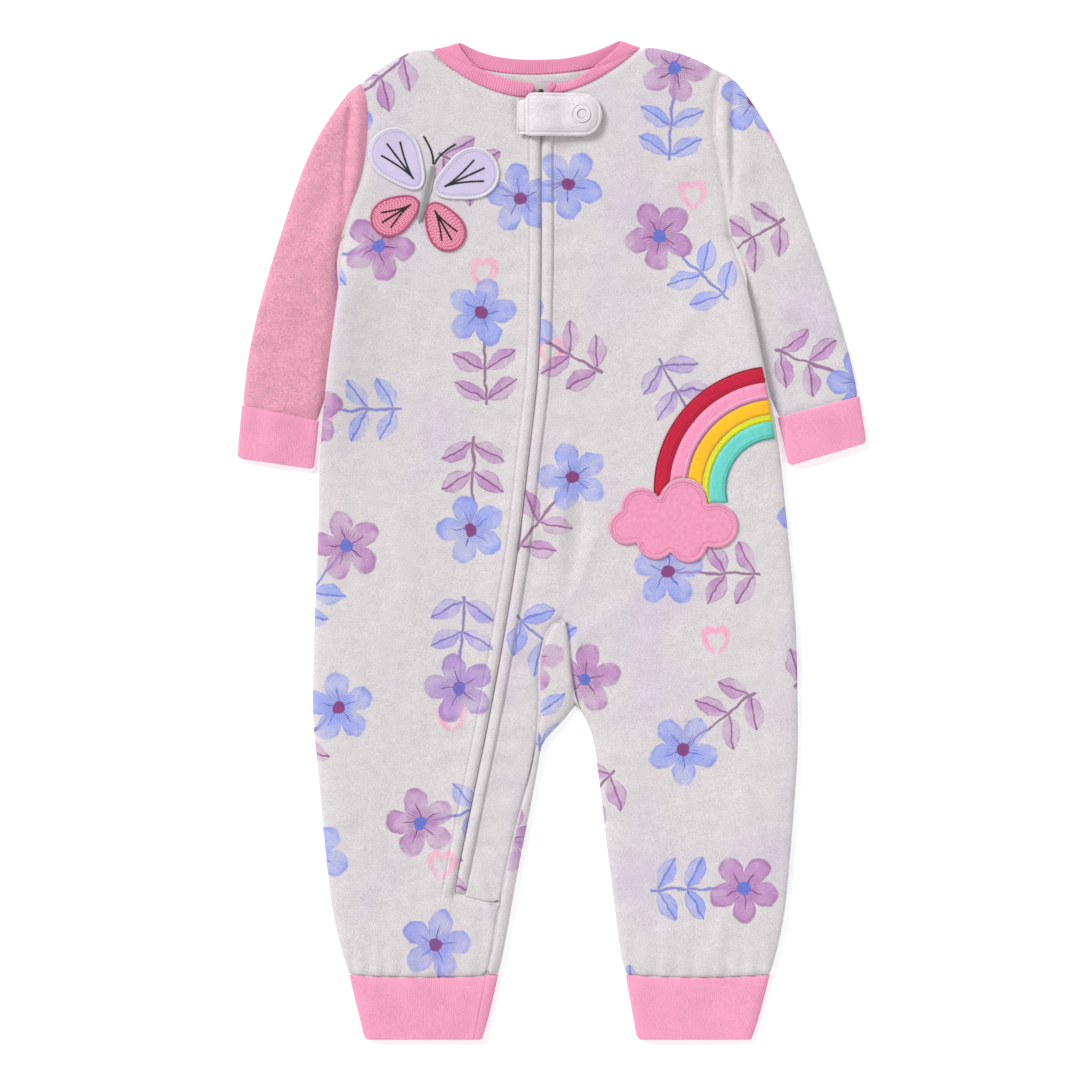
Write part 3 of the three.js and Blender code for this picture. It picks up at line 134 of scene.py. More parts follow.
COLOURS = {
    "fleece": "#D5CFD1", "wash": "#D0C6D3", "periwinkle": "#99A4E6", "periwinkle_line": "#6874C8",
    "mauve": "#BC8BBE", "mauve_line": "#84457F", "heart": "#EFA6C4",
    "pink_fleece": "#E19BB2", "rib": "#E99BBA", "neck_rib": "#E48FB0", "white": "#DFD9DD",
    "crimson": "#BE1239", "crimson_thread": "#850E2C", "band_pink": "#E992B6", "pink_thread": "#F3DCE8",
    "mauve_thread": "#BE72AE", "amber": "#F3B81F", "lemon": "#DCE01E", "turquoise": "#68CCC2",
    "turquoise_thread": "#3FA69C", "cloud": "#E593B4", "cloud_rim": "#EDA6C4", "cloud_line": "#C9668F",
    # The lower wings' stitching is one pink in two tones: a darker ground, painted shade between the
    # stitches, and lighter stitches, painted light on them.
    "satin": "#C9BFDC", "satin_line": "#958ABB", "stitch_pink": "#F0A0B8", "stitch_ground": "#D0708F",
    "deep_pink": "#C25A80", "silver": "#A2A2A4", "black": "#1B1B1D", "neck_thread": "#C25E86",
    "edging": "#E9E6EA", "topstitch": "#C9C0C6", "lacquer_white": "#E4DFE3", "table": "#EAEAEA",
    "light": "#FFFFFF",
}


class RomperSizes(bpy.types.PropertyGroup):
    stitch_length: bpy.props.FloatProperty(
        name="Stitch length", description="Length of one topstitch, in metres",
        default=2.1 * MM, subtype="DISTANCE", unit="LENGTH")
    stitch_pitch: bpy.props.FloatProperty(
        name="Stitch pitch", description="From one topstitch to the next, in metres",
        default=2.9 * MM, subtype="DISTANCE", unit="LENGTH")
    thread: bpy.props.FloatProperty(
        name="Thread", description="Thickness of the sewing thread, in metres",
        default=0.55 * MM, subtype="DISTANCE", unit="LENGTH")
    rib_pitch: bpy.props.FloatProperty(
        name="Rib pitch", description="From one rib of the cuffs to the next, in metres",
        default=1.3 * MM, subtype="DISTANCE", unit="LENGTH")
    rib_depth: bpy.props.FloatProperty(
        name="Rib depth", description="How deep the cuffs' ribs are, in metres",
        default=0.2 * MM, subtype="DISTANCE", unit="LENGTH")
    fold_strength: bpy.props.FloatProperty(
        name="Fold strength", description="How strongly the cloth is creased",
        default=1.0, min=0.0, max=2.0, subtype="FACTOR")


def colour_property(label, key):
    """A colour of the garment that a user can change."""
    return bpy.props.FloatVectorProperty(
        name=label, description=f"Colour of the {label.lower()}",
        default=linear(COLOURS[key]), size=3, min=0.0, max=1.0, subtype="COLOR")


class RomperColours(bpy.types.PropertyGroup):
    fleece: colour_property("Fleece ground", "fleece")
    periwinkle: colour_property("Print's blue", "periwinkle")
    mauve: colour_property("Print's mauve", "mauve")
    pink_fleece: colour_property("Pink sleeve", "pink_fleece")
    rib: colour_property("Cuffs", "rib")
    neck_rib: colour_property("Neck binding", "neck_rib")


def sizes():
    """The garment's sizes, in millimetres where they are lengths."""
    group = bpy.context.scene.romper_sizes
    return {
        "stitch_length": group.stitch_length / MM, "stitch_pitch": group.stitch_pitch / MM,
        "thread": group.thread / MM, "rib_pitch": group.rib_pitch / MM,
        "rib_depth": group.rib_depth / MM, "fold_strength": group.fold_strength,
    }


def colour(key):
    """A colour for a shader socket, from the user's colours or from the list."""
    group = bpy.context.scene.romper_colours
    shade = list(getattr(group, key)) if hasattr(group, key) else linear(COLOURS[key])
    return (*shade, 1.0)


def smooth(start, end, value):
    """An even step from 0 to 1 between two values."""
    t = np.clip((value - start) / (end - start), 0, 1)
    return t * t * (3 - 2 * t)


def line_at(table, key, column=1):
    """Value of a table's column at a key, on a smooth curve through its rows."""
    rows = sorted(table)
    keys = np.array([row[0] for row in rows], float)
    values = np.array([row[column] for row in rows], float)
    slopes = np.gradient(values, keys)
    place = np.clip(key, keys[0], keys[-1])
    i = np.clip(np.searchsorted(keys, place) - 1, 0, len(keys) - 2)
    step = keys[i + 1] - keys[i]
    t = (place - keys[i]) / step
    rise = t * t * (3 - 2 * t)
    return (
        values[i] + (values[i + 1] - values[i]) * rise
        + t * (1 - t) ** 2 * step * slopes[i] + t * t * (t - 1) * step * slopes[i + 1]
    )


def fold_rise(x, y, folds):
    """How far some folds lift the cloth at plan points."""
    rise = np.zeros_like(x)
    for (x0, y0), (x1, y1), width, height in folds:
        along = np.array([x1 - x0, y1 - y0], float)
        length = math.hypot(*along)
        t = ((x - x0) * along[0] + (y - y0) * along[1]) / length ** 2
        off = np.abs((x - x0) * along[1] - (y - y0) * along[0]) / length
        ends = smooth(-FOLD_END, FOLD_FULL, t) * smooth(1 + FOLD_END, 1 - FOLD_FULL, t)
        rise += height * ends * np.exp(-(off / width) ** 2)
    return rise


def swell(x, y, length, seed):
    """An uneven, gentle swell of cloth, from -1 to 1, with waves of about the given length."""
    rng = np.random.default_rng(seed)
    total = np.zeros_like(x)
    waves = 7
    for _ in range(waves):
        heading, phase = rng.uniform(0, 2 * math.pi, 2)
        stride = 2 * math.pi / (length * rng.uniform(0.7, 1.6))
        total += np.sin(stride * (x * math.cos(heading) + y * math.sin(heading)) + phase)
    return total / waves * 1.6


# The armholes, the right leg's inseam and the edge of the lap at the crotch, as (y, x).
ARMHOLE_RIGHT = [
    (282.1, -117.8), (275, -114.2), (262, -112.8), (247, -113.5), (231, -115.3), (200, -125.3),
    (185, -129.6),
]
ARMHOLE_LEFT = [
    (288.5, 106.6), (281, 102.4), (268, 100.4), (254, 100.0), (229, 104.2), (206, 107.9), (185, 110.4),
]
INSEAM = [
    (-49, 5.8), (-54, 0.0), (-60, -3.6), (-75, -7.7), (-90, -8.3), (-104, -7.8), (-124, -9.4),
    (-145, -13.0), (-170, -20.0), (-200, -27.0), (-230, -33.0), (-255, -36.8), (-272, -40.9),
]
CROTCH_LAP = [(-48.5, 5.8), (-54, 9.6), (-60, 10.3), (-75, 11.5), (-90, 13.4), (-104, 14.9)]


def rows_between(table, start, end, steps, shift=0.0):
    """Plan points of a line whose rows are (y, x), from one level to another."""
    y = np.linspace(start, end, steps)
    return np.stack([line_at(table, y) + shift, y], 1)


def cross_line(start, end, sag, steps=13):
    """Plan points from one end to the other that bow by sag in the middle."""
    t = np.linspace(0, 1, steps)[:, None]
    points = np.array(start) + (np.array(end) - np.array(start)) * t
    points[:, 1:] += sag * 4 * t * (1 - t)
    return points


def along_neck(table, shift):
    """Plan points of a neck seam, moved up by shift."""
    x = np.linspace(table[0][0], table[-1][0], 50)
    return np.stack([x, line_at(table, x) + shift], 1)


# Where the closing seam starts, from the zip's end, and the corner where it meets the inseam.
CLOSING_START = (-1, 0.3)
CLOSING_END = (-32.4, -227.1)


def closing_seam():
    """Plan points of the short seam from the zip's end to the right inseam."""
    t = np.linspace(0, 1, 9)
    start = np.array([ZIP[-1][1] + CLOSING_START[0], ZIP_END + CLOSING_START[1]])
    return start + (np.array(CLOSING_END) - start) * np.stack([t, np.sin(t * math.pi / 2)], 1)


HEM_SEAM = HEM_Y - 0.4
NECK_GAP = 0.25
# Each seam's line, half the gap that it closes, how deep and wide its crease is, and how low the
# points lie that it draws in.
SEAMS = [
    (rows_between(ARMHOLE_RIGHT, 185, 282, 25, -0.35), 0.35, 1.3, 2.6, -1),
    (rows_between(ARMHOLE_LEFT, 185, 288, 25, 0.35), 0.35, 1.3, 2.6, -1),
    (cross_line((-126.5, HEM_SEAM), (-32.5, HEM_SEAM), -HEM_SAG), 0.4, 0.7, 1.9, -1),
    (cross_line((44.8, HEM_SEAM), (135.8, HEM_SEAM), -HEM_SAG), 0.4, 0.7, 1.9, -1),
    (cross_line((-192.3, 82.3), (-144.3, 72.1), 0), 0.25, 0.6, 1.7, -1),
    (cross_line((139.9, 74.4), (190.5, 87.8), 0), 0.25, 0.6, 1.7, -1),
    (closing_seam(), 0.48, 0.5, 1.8, 3.7),
    (rows_between(INSEAM, -49, -272, 60, 0.22), 0.22, 0.7, 1.6, 3.7),
    (rows_between(CROTCH_LAP, -54, -104, 20, 0.4), -0.25, 1.6, 2.0, 3.7),
    (along_neck(NECK_FRONT, NECK_GAP), NECK_GAP, 0.6, 1.5, 3.4),
    (along_neck(NECK_BACK, NECK_GAP), NECK_GAP, 0.5, 1.5, -1),
    (rows_between(ZIP, ZIP_END, ZIP_TOP, 90), 0.72, 0.5, 0.8, 4.5),
]
# How far off a seam draws the cloth in, how far past its gap, and between which heights its crease
# starts. Nothing above the guard's underside is drawn in.
SEAM_REACH = 6.0
SEAM_OVERLAP = 0.06
SEAM_TOP = (4.2, 5.6)
GUARD_UNDERSIDE = 8.5


def beside_line(points, line):
    """Which points lie in a seam's reach, as far as the box round its line tells."""
    low = line.min(axis=0) - SEAM_REACH
    high = line.max(axis=0) + SEAM_REACH
    return ((points[:, :2] > low) & (points[:, :2] < high)).all(axis=1)


def draw_seams(points):
    """Draws the cloth together at every seam, so that the seam shows as a soft crease."""
    moved = points.copy()
    for line, gap, depth, width, lowest in SEAMS:
        near = beside_line(moved, line) & (moved[:, 2] > lowest) & (moved[:, 2] < GUARD_UNDERSIDE)
        index = np.flatnonzero(near)
        if not len(index):
            continue
        plan = moved[index, :2]
        best = np.full(len(index), np.inf)
        away = np.zeros((len(index), 2))
        for a, b in zip(line[:-1], line[1:]):
            along = b - a
            t = np.clip(((plan - a) @ along) / (along @ along), 0, 1)
            offset = plan - a - t[:, None] * along
            off = np.hypot(*offset.T)
            closer = off < best
            best[closer] = off[closer]
            away[closer] = offset[closer]
        unit = away / np.maximum(best, 1e-6)[:, None]
        pull = (gap + SEAM_OVERLAP) * (1 - smooth(gap, SEAM_REACH, best))
        top = smooth(*SEAM_TOP, moved[index, 2])
        moved[index, :2] -= unit * pull[:, None]
        moved[index, 2] -= depth * np.exp(-((best - gap) / width) ** 2) * top
    return moved


# The welts' crown, the crease where each is stitched down, and how far from the zip that lies. They
# start just below the zip's end, where a row of stitches crosses them.
WELT = {
    "crown": 0.7, "crease": 0.7, "crease_width": 0.7, "stitched": 7.4,
    "starts": -0.5, "full": 2.5, "crossed": -0.4, "crossed_width": 0.9,
}


def welt_rise(x, y):
    """Height that the rolled and stitched welts add beside the zip."""
    off = np.abs(x - line_at(ZIP, y))
    across = np.clip((off - ZIP_HALF_GAP) / WELT_WIDTH, 0, 1)
    above_end = y - ZIP_END
    within = smooth(WELT["starts"], WELT["full"], above_end)
    crown = WELT["crown"] * (1 - np.abs(2 * across - 1) ** 3)
    crease = WELT["crease"] * np.exp(-((off - WELT["stitched"]) / WELT["crease_width"]) ** 2)
    crossed = np.exp(-((above_end - WELT["crossed"]) / WELT["crossed_width"]) ** 2)
    return within * (crown - crease) - WELT["crease"] * crossed * (off < WELT["stitched"])


# Finer creases of every upper surface: from, to, half width and rise.
CREASES = [
    ((-176, 250), (-150, 262), 9, 0.8), ((-186, 205), (-160, 196), 8, -0.8),
    ((-182, 150), (-158, 139), 9, 0.9), ((-188, 120), (-160, 112), 6, -0.6),
    ((-136, 268), (-150, 236), 7, 0.7), ((-138, 214), (-160, 180), 8, -0.7),
    ((138, 150), (176, 128), 7, 1.0), ((146, 136), (178, 112), 5, -0.9), ((128, 262), (150, 232), 7, 0.7),
    ((124, 226), (146, 196), 6, -0.7), ((150, 110), (180, 100), 6, 0.7), ((158, 190), (140, 160), 7, 0.6),
    ((-172, 82), (-175, 44), 7, 0.5), ((-153, 78), (-155, 43), 10, -1.3), ((-30, -6), (-40, -52), 5, 0.7),
    ((-8, 4), (-20, -58), 5, -0.7), ((10, 60), (6, -4), 5, 0.7), ((22, 52), (14, -20), 5, -0.5),
    ((30, 10), (12, -40), 4, 0.6), ((-66, -150), (-58, -172), 2.6, 0.9),
    ((-72, -168), (-62, -190), 2.6, -0.7), ((-74, -184), (-66, -204), 2.6, 0.9),
    ((116, -154), (130, -176), 3.5, 0.9), ((118, -178), (134, -206), 4, 0.8),
    ((-140, -60), (-116, -90), 6, 0.7), ((-138, -150), (-120, -178), 5, 0.8),
    ((-132, -206), (-112, -224), 4, 0.7), ((60, -96), (84, -120), 7, 0.7),
    ((34, -132), (62, -140), 5, 0.6), ((40, -186), (66, -196), 5, 0.6), ((96, 236), (70, 222), 7, 0.7),
    ((-104, 232), (-82, 214), 7, 0.5), ((-112, 160), (-80, 132), 7, 0.7), ((98, 150), (70, 120), 7, 0.7),
    ((-46, -206), (-36, -238), 3, 0.8), ((-52, -236), (-44, -262), 4, 0.6),
    ((-96, -236), (-84, -264), 5, 0.6), ((70, -236), (76, -264), 5, 0.6),
    ((108, -232), (98, -262), 5, 0.6), ((-119, 272), (-122.5, 206), 3.4, 0.9),
    ((-124, 277), (-129.5, 200), 2.3, -1.4), ((106, 270), (108, 220), 3.0, 0.7),
    ((112, 278), (112.4, 210), 2.3, -1.3), ((118, 268), (124, 224), 5, 0.5),
]
CREASE_STRENGTH = 1.35

# Ripples that the topstitching draws beside the zip, and gathers above the leg cuffs: how far they
# reach, from one to the next, their rise, and where they start and are full above the zip's end or
# the hem.
ZIP_RIPPLE = {"near": 9.0, "reach": 9.0, "length": 19.0, "rise": 0.34, "starts": -8, "full": 20}
HEM_RIPPLE = {"reach": 16.0, "length": 11.0, "rise": 0.42, "starts": -6, "full": 2}
# Swells of the upper and of the lower layer: rise, length of the waves and seed.
UPPER_SWELLS = [(0.5, 62, 3), (0.22, 24, 8)]
LOWER_SWELLS = [(0.3, 70, 5), (0.12, 22, 6)]
LOWER_LIFT = 0.3
# Heights between which a point comes to belong to the upper layer, and to the lower one.
UPPER_LAYER = (1.8, 4.4)
LOWER_LAYER = (3.2, 1.2)


def swells(x, y, table):
    """The sum of a table's swells at plan points."""
    return sum(rise * swell(x, y, length, seed) for rise, length, seed in table)


def soften(points):
    """The cloth's own unevenness, added to points of every piece alike so that none meets another.
    The underside stays near the surface that it lies on."""
    strength = sizes()["fold_strength"]
    points = draw_seams(points)
    x, y, z = points.T
    off = np.abs(x - line_at(ZIP, y)) - ZIP_HALF_GAP - WELT_WIDTH
    beside = np.exp(-((off - ZIP_RIPPLE["near"]) / ZIP_RIPPLE["reach"]) ** 2)
    beside = beside * smooth(ZIP_RIPPLE["starts"], ZIP_RIPPLE["full"], y - ZIP_END)
    uneven = 1.6 * np.sin(y / 27) + 0.9 * np.sin(y / 11.3 + x / 30)
    zip_ripple = ZIP_RIPPLE["rise"] * beside * np.sin(2 * math.pi * y / ZIP_RIPPLE["length"] + uneven)
    above = y - HEM_Y
    near_hem = np.exp(-(np.clip(above, 0, None) / HEM_RIPPLE["reach"]))
    near_hem = near_hem * smooth(HEM_RIPPLE["starts"], HEM_RIPPLE["full"], above)
    uneven = 1.5 * np.sin(x / 19)
    hem_ripple = HEM_RIPPLE["rise"] * near_hem * np.sin(2 * math.pi * x / HEM_RIPPLE["length"] + uneven)
    top = swells(x, y, UPPER_SWELLS) + zip_ripple + hem_ripple
    top = (top + CREASE_STRENGTH * fold_rise(x, y, CREASES) + welt_rise(x, y)) * (z < GUARD_UNDERSIDE)
    under = LOWER_LIFT + swells(x, y, LOWER_SWELLS)
    lifted = top * smooth(*UPPER_LAYER, z) + np.clip(under, 0, None) * smooth(*LOWER_LAYER, z)
    moved = points.copy()
    moved[:, 2] = z + strength * lifted
    return moved


def points_of(mesh):
    """A mesh's points in millimetres."""
    flat = np.empty(len(mesh.vertices) * 3)
    mesh.vertices.foreach_get("co", flat)
    return flat.reshape(-1, 3) / MM


def set_points(mesh, points):
    """Puts points in millimetres into a mesh."""
    mesh.vertices.foreach_set("co", (points * MM).ravel())
    mesh.update()


def new_object(name, mesh):
    """An object for a mesh, in the scene, with smooth faces."""
    piece = bpy.data.objects.new(name, mesh)
    bpy.context.scene.collection.objects.link(piece)
    mesh.shade_smooth()
    return piece


def baked(piece):
    """Turns a piece with modifiers into a plain mesh."""
    graph = bpy.context.evaluated_depsgraph_get()
    mesh = bpy.data.meshes.new_from_object(piece.evaluated_get(graph))
    piece.modifiers.clear()
    piece.data = mesh
    return piece


def subdivided(piece, levels):
    """Smooths a piece by subdivision and keeps the plain mesh."""
    finer = piece.modifiers.new("Subdivision", "SUBSURF")
    finer.levels = finer.render_levels = levels
    return baked(piece)


# Points nearer to each other than this are merged.
WELD = 0.02 * MM


def closed_mesh(name, points, faces, welded=True):
    """A closed mesh from points in millimetres, with its faces pointing out."""
    mesh = bpy.data.meshes.new(name)
    mesh.from_pydata([tuple(p) for p in np.array(points) * MM], [], faces)
    work = bmesh.new()
    work.from_mesh(mesh)
    if welded:
        bmesh.ops.remove_doubles(work, verts=work.verts, dist=WELD)
    bmesh.ops.recalc_face_normals(work, faces=work.faces)
    work.to_mesh(mesh)
    work.free()
    return mesh


def faces_between(rings, wide, joined=False):
    """Four-sided faces from each ring of points to the next, and from the last to the first if joined."""
    faces = []
    for j in range(rings if joined else rings - 1):
        here = j * wide
        there = (j + 1) % rings * wide
        for i in range(wide):
            k = (i + 1) % wide
            faces.append((here + i, there + i, there + k, here + k))
    return faces


def packed_copy(node):
    """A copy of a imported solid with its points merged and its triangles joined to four-sided faces."""
    work = bmesh.new()
    work.from_mesh(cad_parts[node].data)
    bmesh.ops.remove_doubles(work, verts=work.verts, dist=WELD)
    bmesh.ops.join_triangles(
        work, faces=work.faces, angle_face_threshold=math.pi, angle_shape_threshold=math.pi)
    mesh = bpy.data.meshes.new(node)
    work.to_mesh(mesh)
    work.free()
    return mesh


def set_in(piece, node, slot, material):
    """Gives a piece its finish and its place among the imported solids."""
    piece.data.materials.clear()
    piece.data.materials.append(material)
    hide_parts(node)
    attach(piece, "root")
    return piece


def finish_piece(piece, node, slot, material):
    """Sets in a piece of cloth."""
    set_in(piece, node, slot, material)
    return piece


# Heights between which the fronts come to follow the main folds. Their corners stay sharp within this
# reach of where the closing seam meets the inseam.
FRONT_FOLDED = (4.4, 6.2)
SHARP_REACH = 0.6


def cloth_from(node, levels, folded=False):
    """A cloth piece on its solid's form: subdivided, with the main folds drawn finely. The solid holds
    them coarsely, so they come off before the subdivision and go on again after it."""
    piece = new_object(f"{node}_cloth", packed_copy(node))
    if folded:
        points = points_of(piece.data)
        x, y, z = points.T
        at_corner = np.hypot(x - CLOSING_END[0], y - CLOSING_END[1]) < SHARP_REACH
        sharp = piece.data.attributes.new("crease_vert", "FLOAT", "POINT")
        sharp.data.foreach_set("value", at_corner.astype(float))
        points[:, 2] = z - fold_rise(x, y, FOLDS) * smooth(*FRONT_FOLDED, z)
        set_points(piece.data, points)
    subdivided(piece, levels)
    points = points_of(piece.data)
    x, y, z = points.T
    if folded:
        points[:, 2] = z + sizes()["fold_strength"] * fold_rise(x, y, FOLDS) * smooth(*FRONT_FOLDED, z)
    set_points(piece.data, soften(points))
    return piece


# Usual height of the fronts' upper surface.
USUAL_TOP = 6.8


class Surface:
    """The upper surface of some pieces, to lay other things on."""

    def __init__(self, pieces):
        vertices = []
        faces = []
        for piece in pieces:
            start = len(vertices)
            vertices.extend(v.co.copy() for v in piece.data.vertices)
            faces.extend([start + i for i in face.vertices] for face in piece.data.polygons)
        self.tree = BVHTree.FromPolygons(vertices, faces)

    def height(self, x, y, missing=USUAL_TOP):
        """Height of the surface at a plan point, or the height given for where it is missing."""
        hit = self.tree.ray_cast(Vector((x * MM, y * MM, 0.1)), Vector((0, 0, -1)))[0]
        return missing if hit is None else hit.z / MM


def add_node(tree, kind, inputs=None, output=0, **settings):
    """Adds a node with its settings, sets or links its inputs, and returns one output."""
    node = tree.nodes.new(kind)
    for name, value in settings.items():
        setattr(node, name, value)
    for key, value in (inputs or {}).items():
        socket = node.inputs[key]
        if isinstance(value, bpy.types.NodeSocket):
            tree.links.new(value, socket)
        else:
            socket.default_value = value
    return node.outputs[output]


# What a chart's row may do besides a Math operation: node, settings, input sockets and output.
CHART_WORDS = {
    "step": ("ShaderNodeMapRange", {"interpolation_type": "SMOOTHSTEP"}, (0, 1, 2), 0),
    "paint": ("ShaderNodeMix", {"data_type": "RGBA"}, (0, 6, 7), 2),
    "point": ("ShaderNodeCombineXYZ", {}, (0, 1, 2), 0),
    "turn": ("ShaderNodeVectorRotate", {"rotation_type": "Z_AXIS"}, (0, 3), 0),
    "draw": ("ShaderNodeTexWhiteNoise", {}, (0,), 1),
    "red": ("ShaderNodeSeparateColor", {}, (0,), 0),
    "green": ("ShaderNodeSeparateColor", {}, (0,), 1),
    "along x": ("ShaderNodeSeparateXYZ", {}, (0,), 0),
    "along y": ("ShaderNodeSeparateXYZ", {}, (0,), 1),
    "along z": ("ShaderNodeSeparateXYZ", {}, (0,), 2),
}


def work_out(tree, values, rows):
    """Adds one node for each row of a chart: result, what it does, and its inputs by name or value."""
    for result, does, *inputs in rows:
        kind, settings, places, output = CHART_WORDS.get(
            does, ("ShaderNodeMath", {"operation": does}, (0, 1, 2), 0))
        given = [values[item] if isinstance(item, str) else item for item in inputs]
        values[result] = add_node(tree, kind, dict(zip(places, given)), output, **settings)
    return values


def new_material(name):
    """A new material and its node tree, which is empty."""
    material = bpy.data.materials.new(name)
    material.use_nodes = True
    material.node_tree.nodes.clear()
    return material, material.node_tree


def toned(tree, shade, value, span, tones):
    """Makes a colour darker or lighter with a value: two tones for the two ends of the value's span."""
    light = add_node(
        tree, "ShaderNodeMapRange",
        {"Value": value, "From Min": span[0], "From Max": span[1], "To Min": tones[0], "To Max": tones[1]})
    return add_node(tree, "ShaderNodeVectorMath", {0: shade, 3: light}, operation="SCALE")


def finish_material(tree, inputs):
    """Ends a material in one Principled shader."""
    shader = add_node(tree, "ShaderNodeBsdfPrincipled", inputs)
    end = tree.nodes.new("ShaderNodeOutputMaterial")
    tree.links.new(shader, end.inputs["Surface"])


# How many grains of each finish there are in a millimetre: those of the nap are 0.9 mm across, and
# those of the wash 71 mm. The nap, the pile and the yarns are coarser than real ones, so that they show.
GRAIN = {
    "nap": 1.15, "pile": 0.16, "yarn": 0.9, "dyeing": 0.06, "felting": 0.4, "coat": 0.5, "twist": 1.1,
    "brush": 0.11, "water": 0.06, "wash": 0.014,
}
# How far the brush wanders, in millimetres.
BRUSH_WANDER = 5.0

# The print: a spray of one flower, its stem and two pairs of leaves, turned by chance in each cell of
# a half-drop repeat. A cell is wider than a spray is long, so that none is cut off. Lengths in these
# charts are in millimetres.
CELL_WIDE, CELL_TALL = 86.0, 98.0
CELL_CHART = [
    ("x", "along x", "drawn"), ("y", "along y", "drawn"),
    ("column", "DIVIDE", "x", CELL_WIDE), ("column", "FLOOR", "column"),
    ("half", "MULTIPLY", "column", 0.5), ("half", "FRACT", "half"),
    ("dropped", "MULTIPLY_ADD", "half", CELL_TALL, "y"),
    ("row", "DIVIDE", "dropped", CELL_TALL), ("row", "FLOOR", "row"),
    ("cell_x", "MULTIPLY_ADD", "column", -CELL_WIDE, "x"), ("cell_x", "SUBTRACT", "cell_x", CELL_WIDE / 2),
    ("cell_y", "MULTIPLY_ADD", "row", -CELL_TALL, "dropped"),
    ("cell_y", "SUBTRACT", "cell_y", CELL_TALL / 2),
    ("cell", "point", "column", "row", "seed"), ("chance", "draw", "cell"),
    ("turned", "red", "chance"), ("turned", "MULTIPLY", "turned", 2 * math.pi),
    ("local", "point", "cell_x", "cell_y", 0.0), ("local", "turn", "local", "turned"),
    ("u", "along x", "local"), ("v", "along y", "local"),
    ("hue", "green", "chance"), ("hue", "step", "hue", 0.42, 0.58),
    ("flower", "paint", "hue", "periwinkle", "mauve"),
    ("flower_ink", "paint", "hue", "periwinkle_line", "mauve_line"),
    ("leafy", "paint", "hue", "mauve", "periwinkle"),
    ("leaf_ink", "paint", "hue", "mauve_line", "periwinkle_line"),
]
PETAL_REACH = 22.0
FLOWER_CENTRE = 18.5
FLOWER_CHART = [
    ("flower_y", "SUBTRACT", "v", FLOWER_CENTRE),
    ("angle", "ARCTAN2", "flower_y", "u"), ("wave", "MULTIPLY", "angle", 2.5),
    ("u2", "MULTIPLY", "u", "u"), ("radius", "MULTIPLY_ADD", "flower_y", "flower_y", "u2"),
    ("radius", "SQRT", "radius"),
    ("petal", "COSINE", "wave"), ("petal", "ABSOLUTE", "petal"), ("petal", "POWER", "petal", 0.55),
    ("rim", "MULTIPLY_ADD", "petal", PETAL_REACH * 0.62, PETAL_REACH * 0.38),
    ("inside", "SUBTRACT", "rim", "radius"), ("edge", "ABSOLUTE", "inside"),
    ("petals", "step", "inside", -0.6, 1.2),
    ("pool", "step", "edge", 4.5, 0.3), ("pool", "MULTIPLY", "pool", "wet"),
    ("pool", "MULTIPLY", "pool", 0.4),
    ("line", "step", "edge", 1.1, 0.3), ("line", "MULTIPLY", "line", "wet"),
    ("line", "MULTIPLY", "line", 0.8),
    ("vein", "SINE", "wave"), ("vein", "ABSOLUTE", "vein"), ("vein", "MULTIPLY", "vein", "radius"),
    ("vein", "step", "vein", 1.5, 0.4), ("near", "step", "radius", 14.0, 9.0),
    ("vein", "MULTIPLY", "vein", "near"),
    ("streak", "MULTIPLY", "angle", 35.0), ("streak", "SINE", "streak"),
    ("streak", "step", "streak", 0.35, 0.9),
    ("reach", "step", "radius", 11.5, 6.5), ("streak", "MULTIPLY", "streak", "reach"),
    ("streak", "MULTIPLY", "streak", 0.7),
    ("line", "MAXIMUM", "line", "vein"), ("line", "MAXIMUM", "line", "streak"),
    ("line", "MAXIMUM", "line", "pool"),
    ("line", "MULTIPLY", "line", "petals"), ("middle", "step", "radius", 4.4, 3.4),
    ("shown", "MULTIPLY", "petals", "tone"), ("ground", "paint", "shown", "ground", "flower"),
    ("ground", "paint", "line", "ground", "flower_ink"),
    ("ground", "paint", "middle", "ground", "leaf_ink"),
]
LEAF_PERIOD = 18.0
LEAF_TOP = -3.0
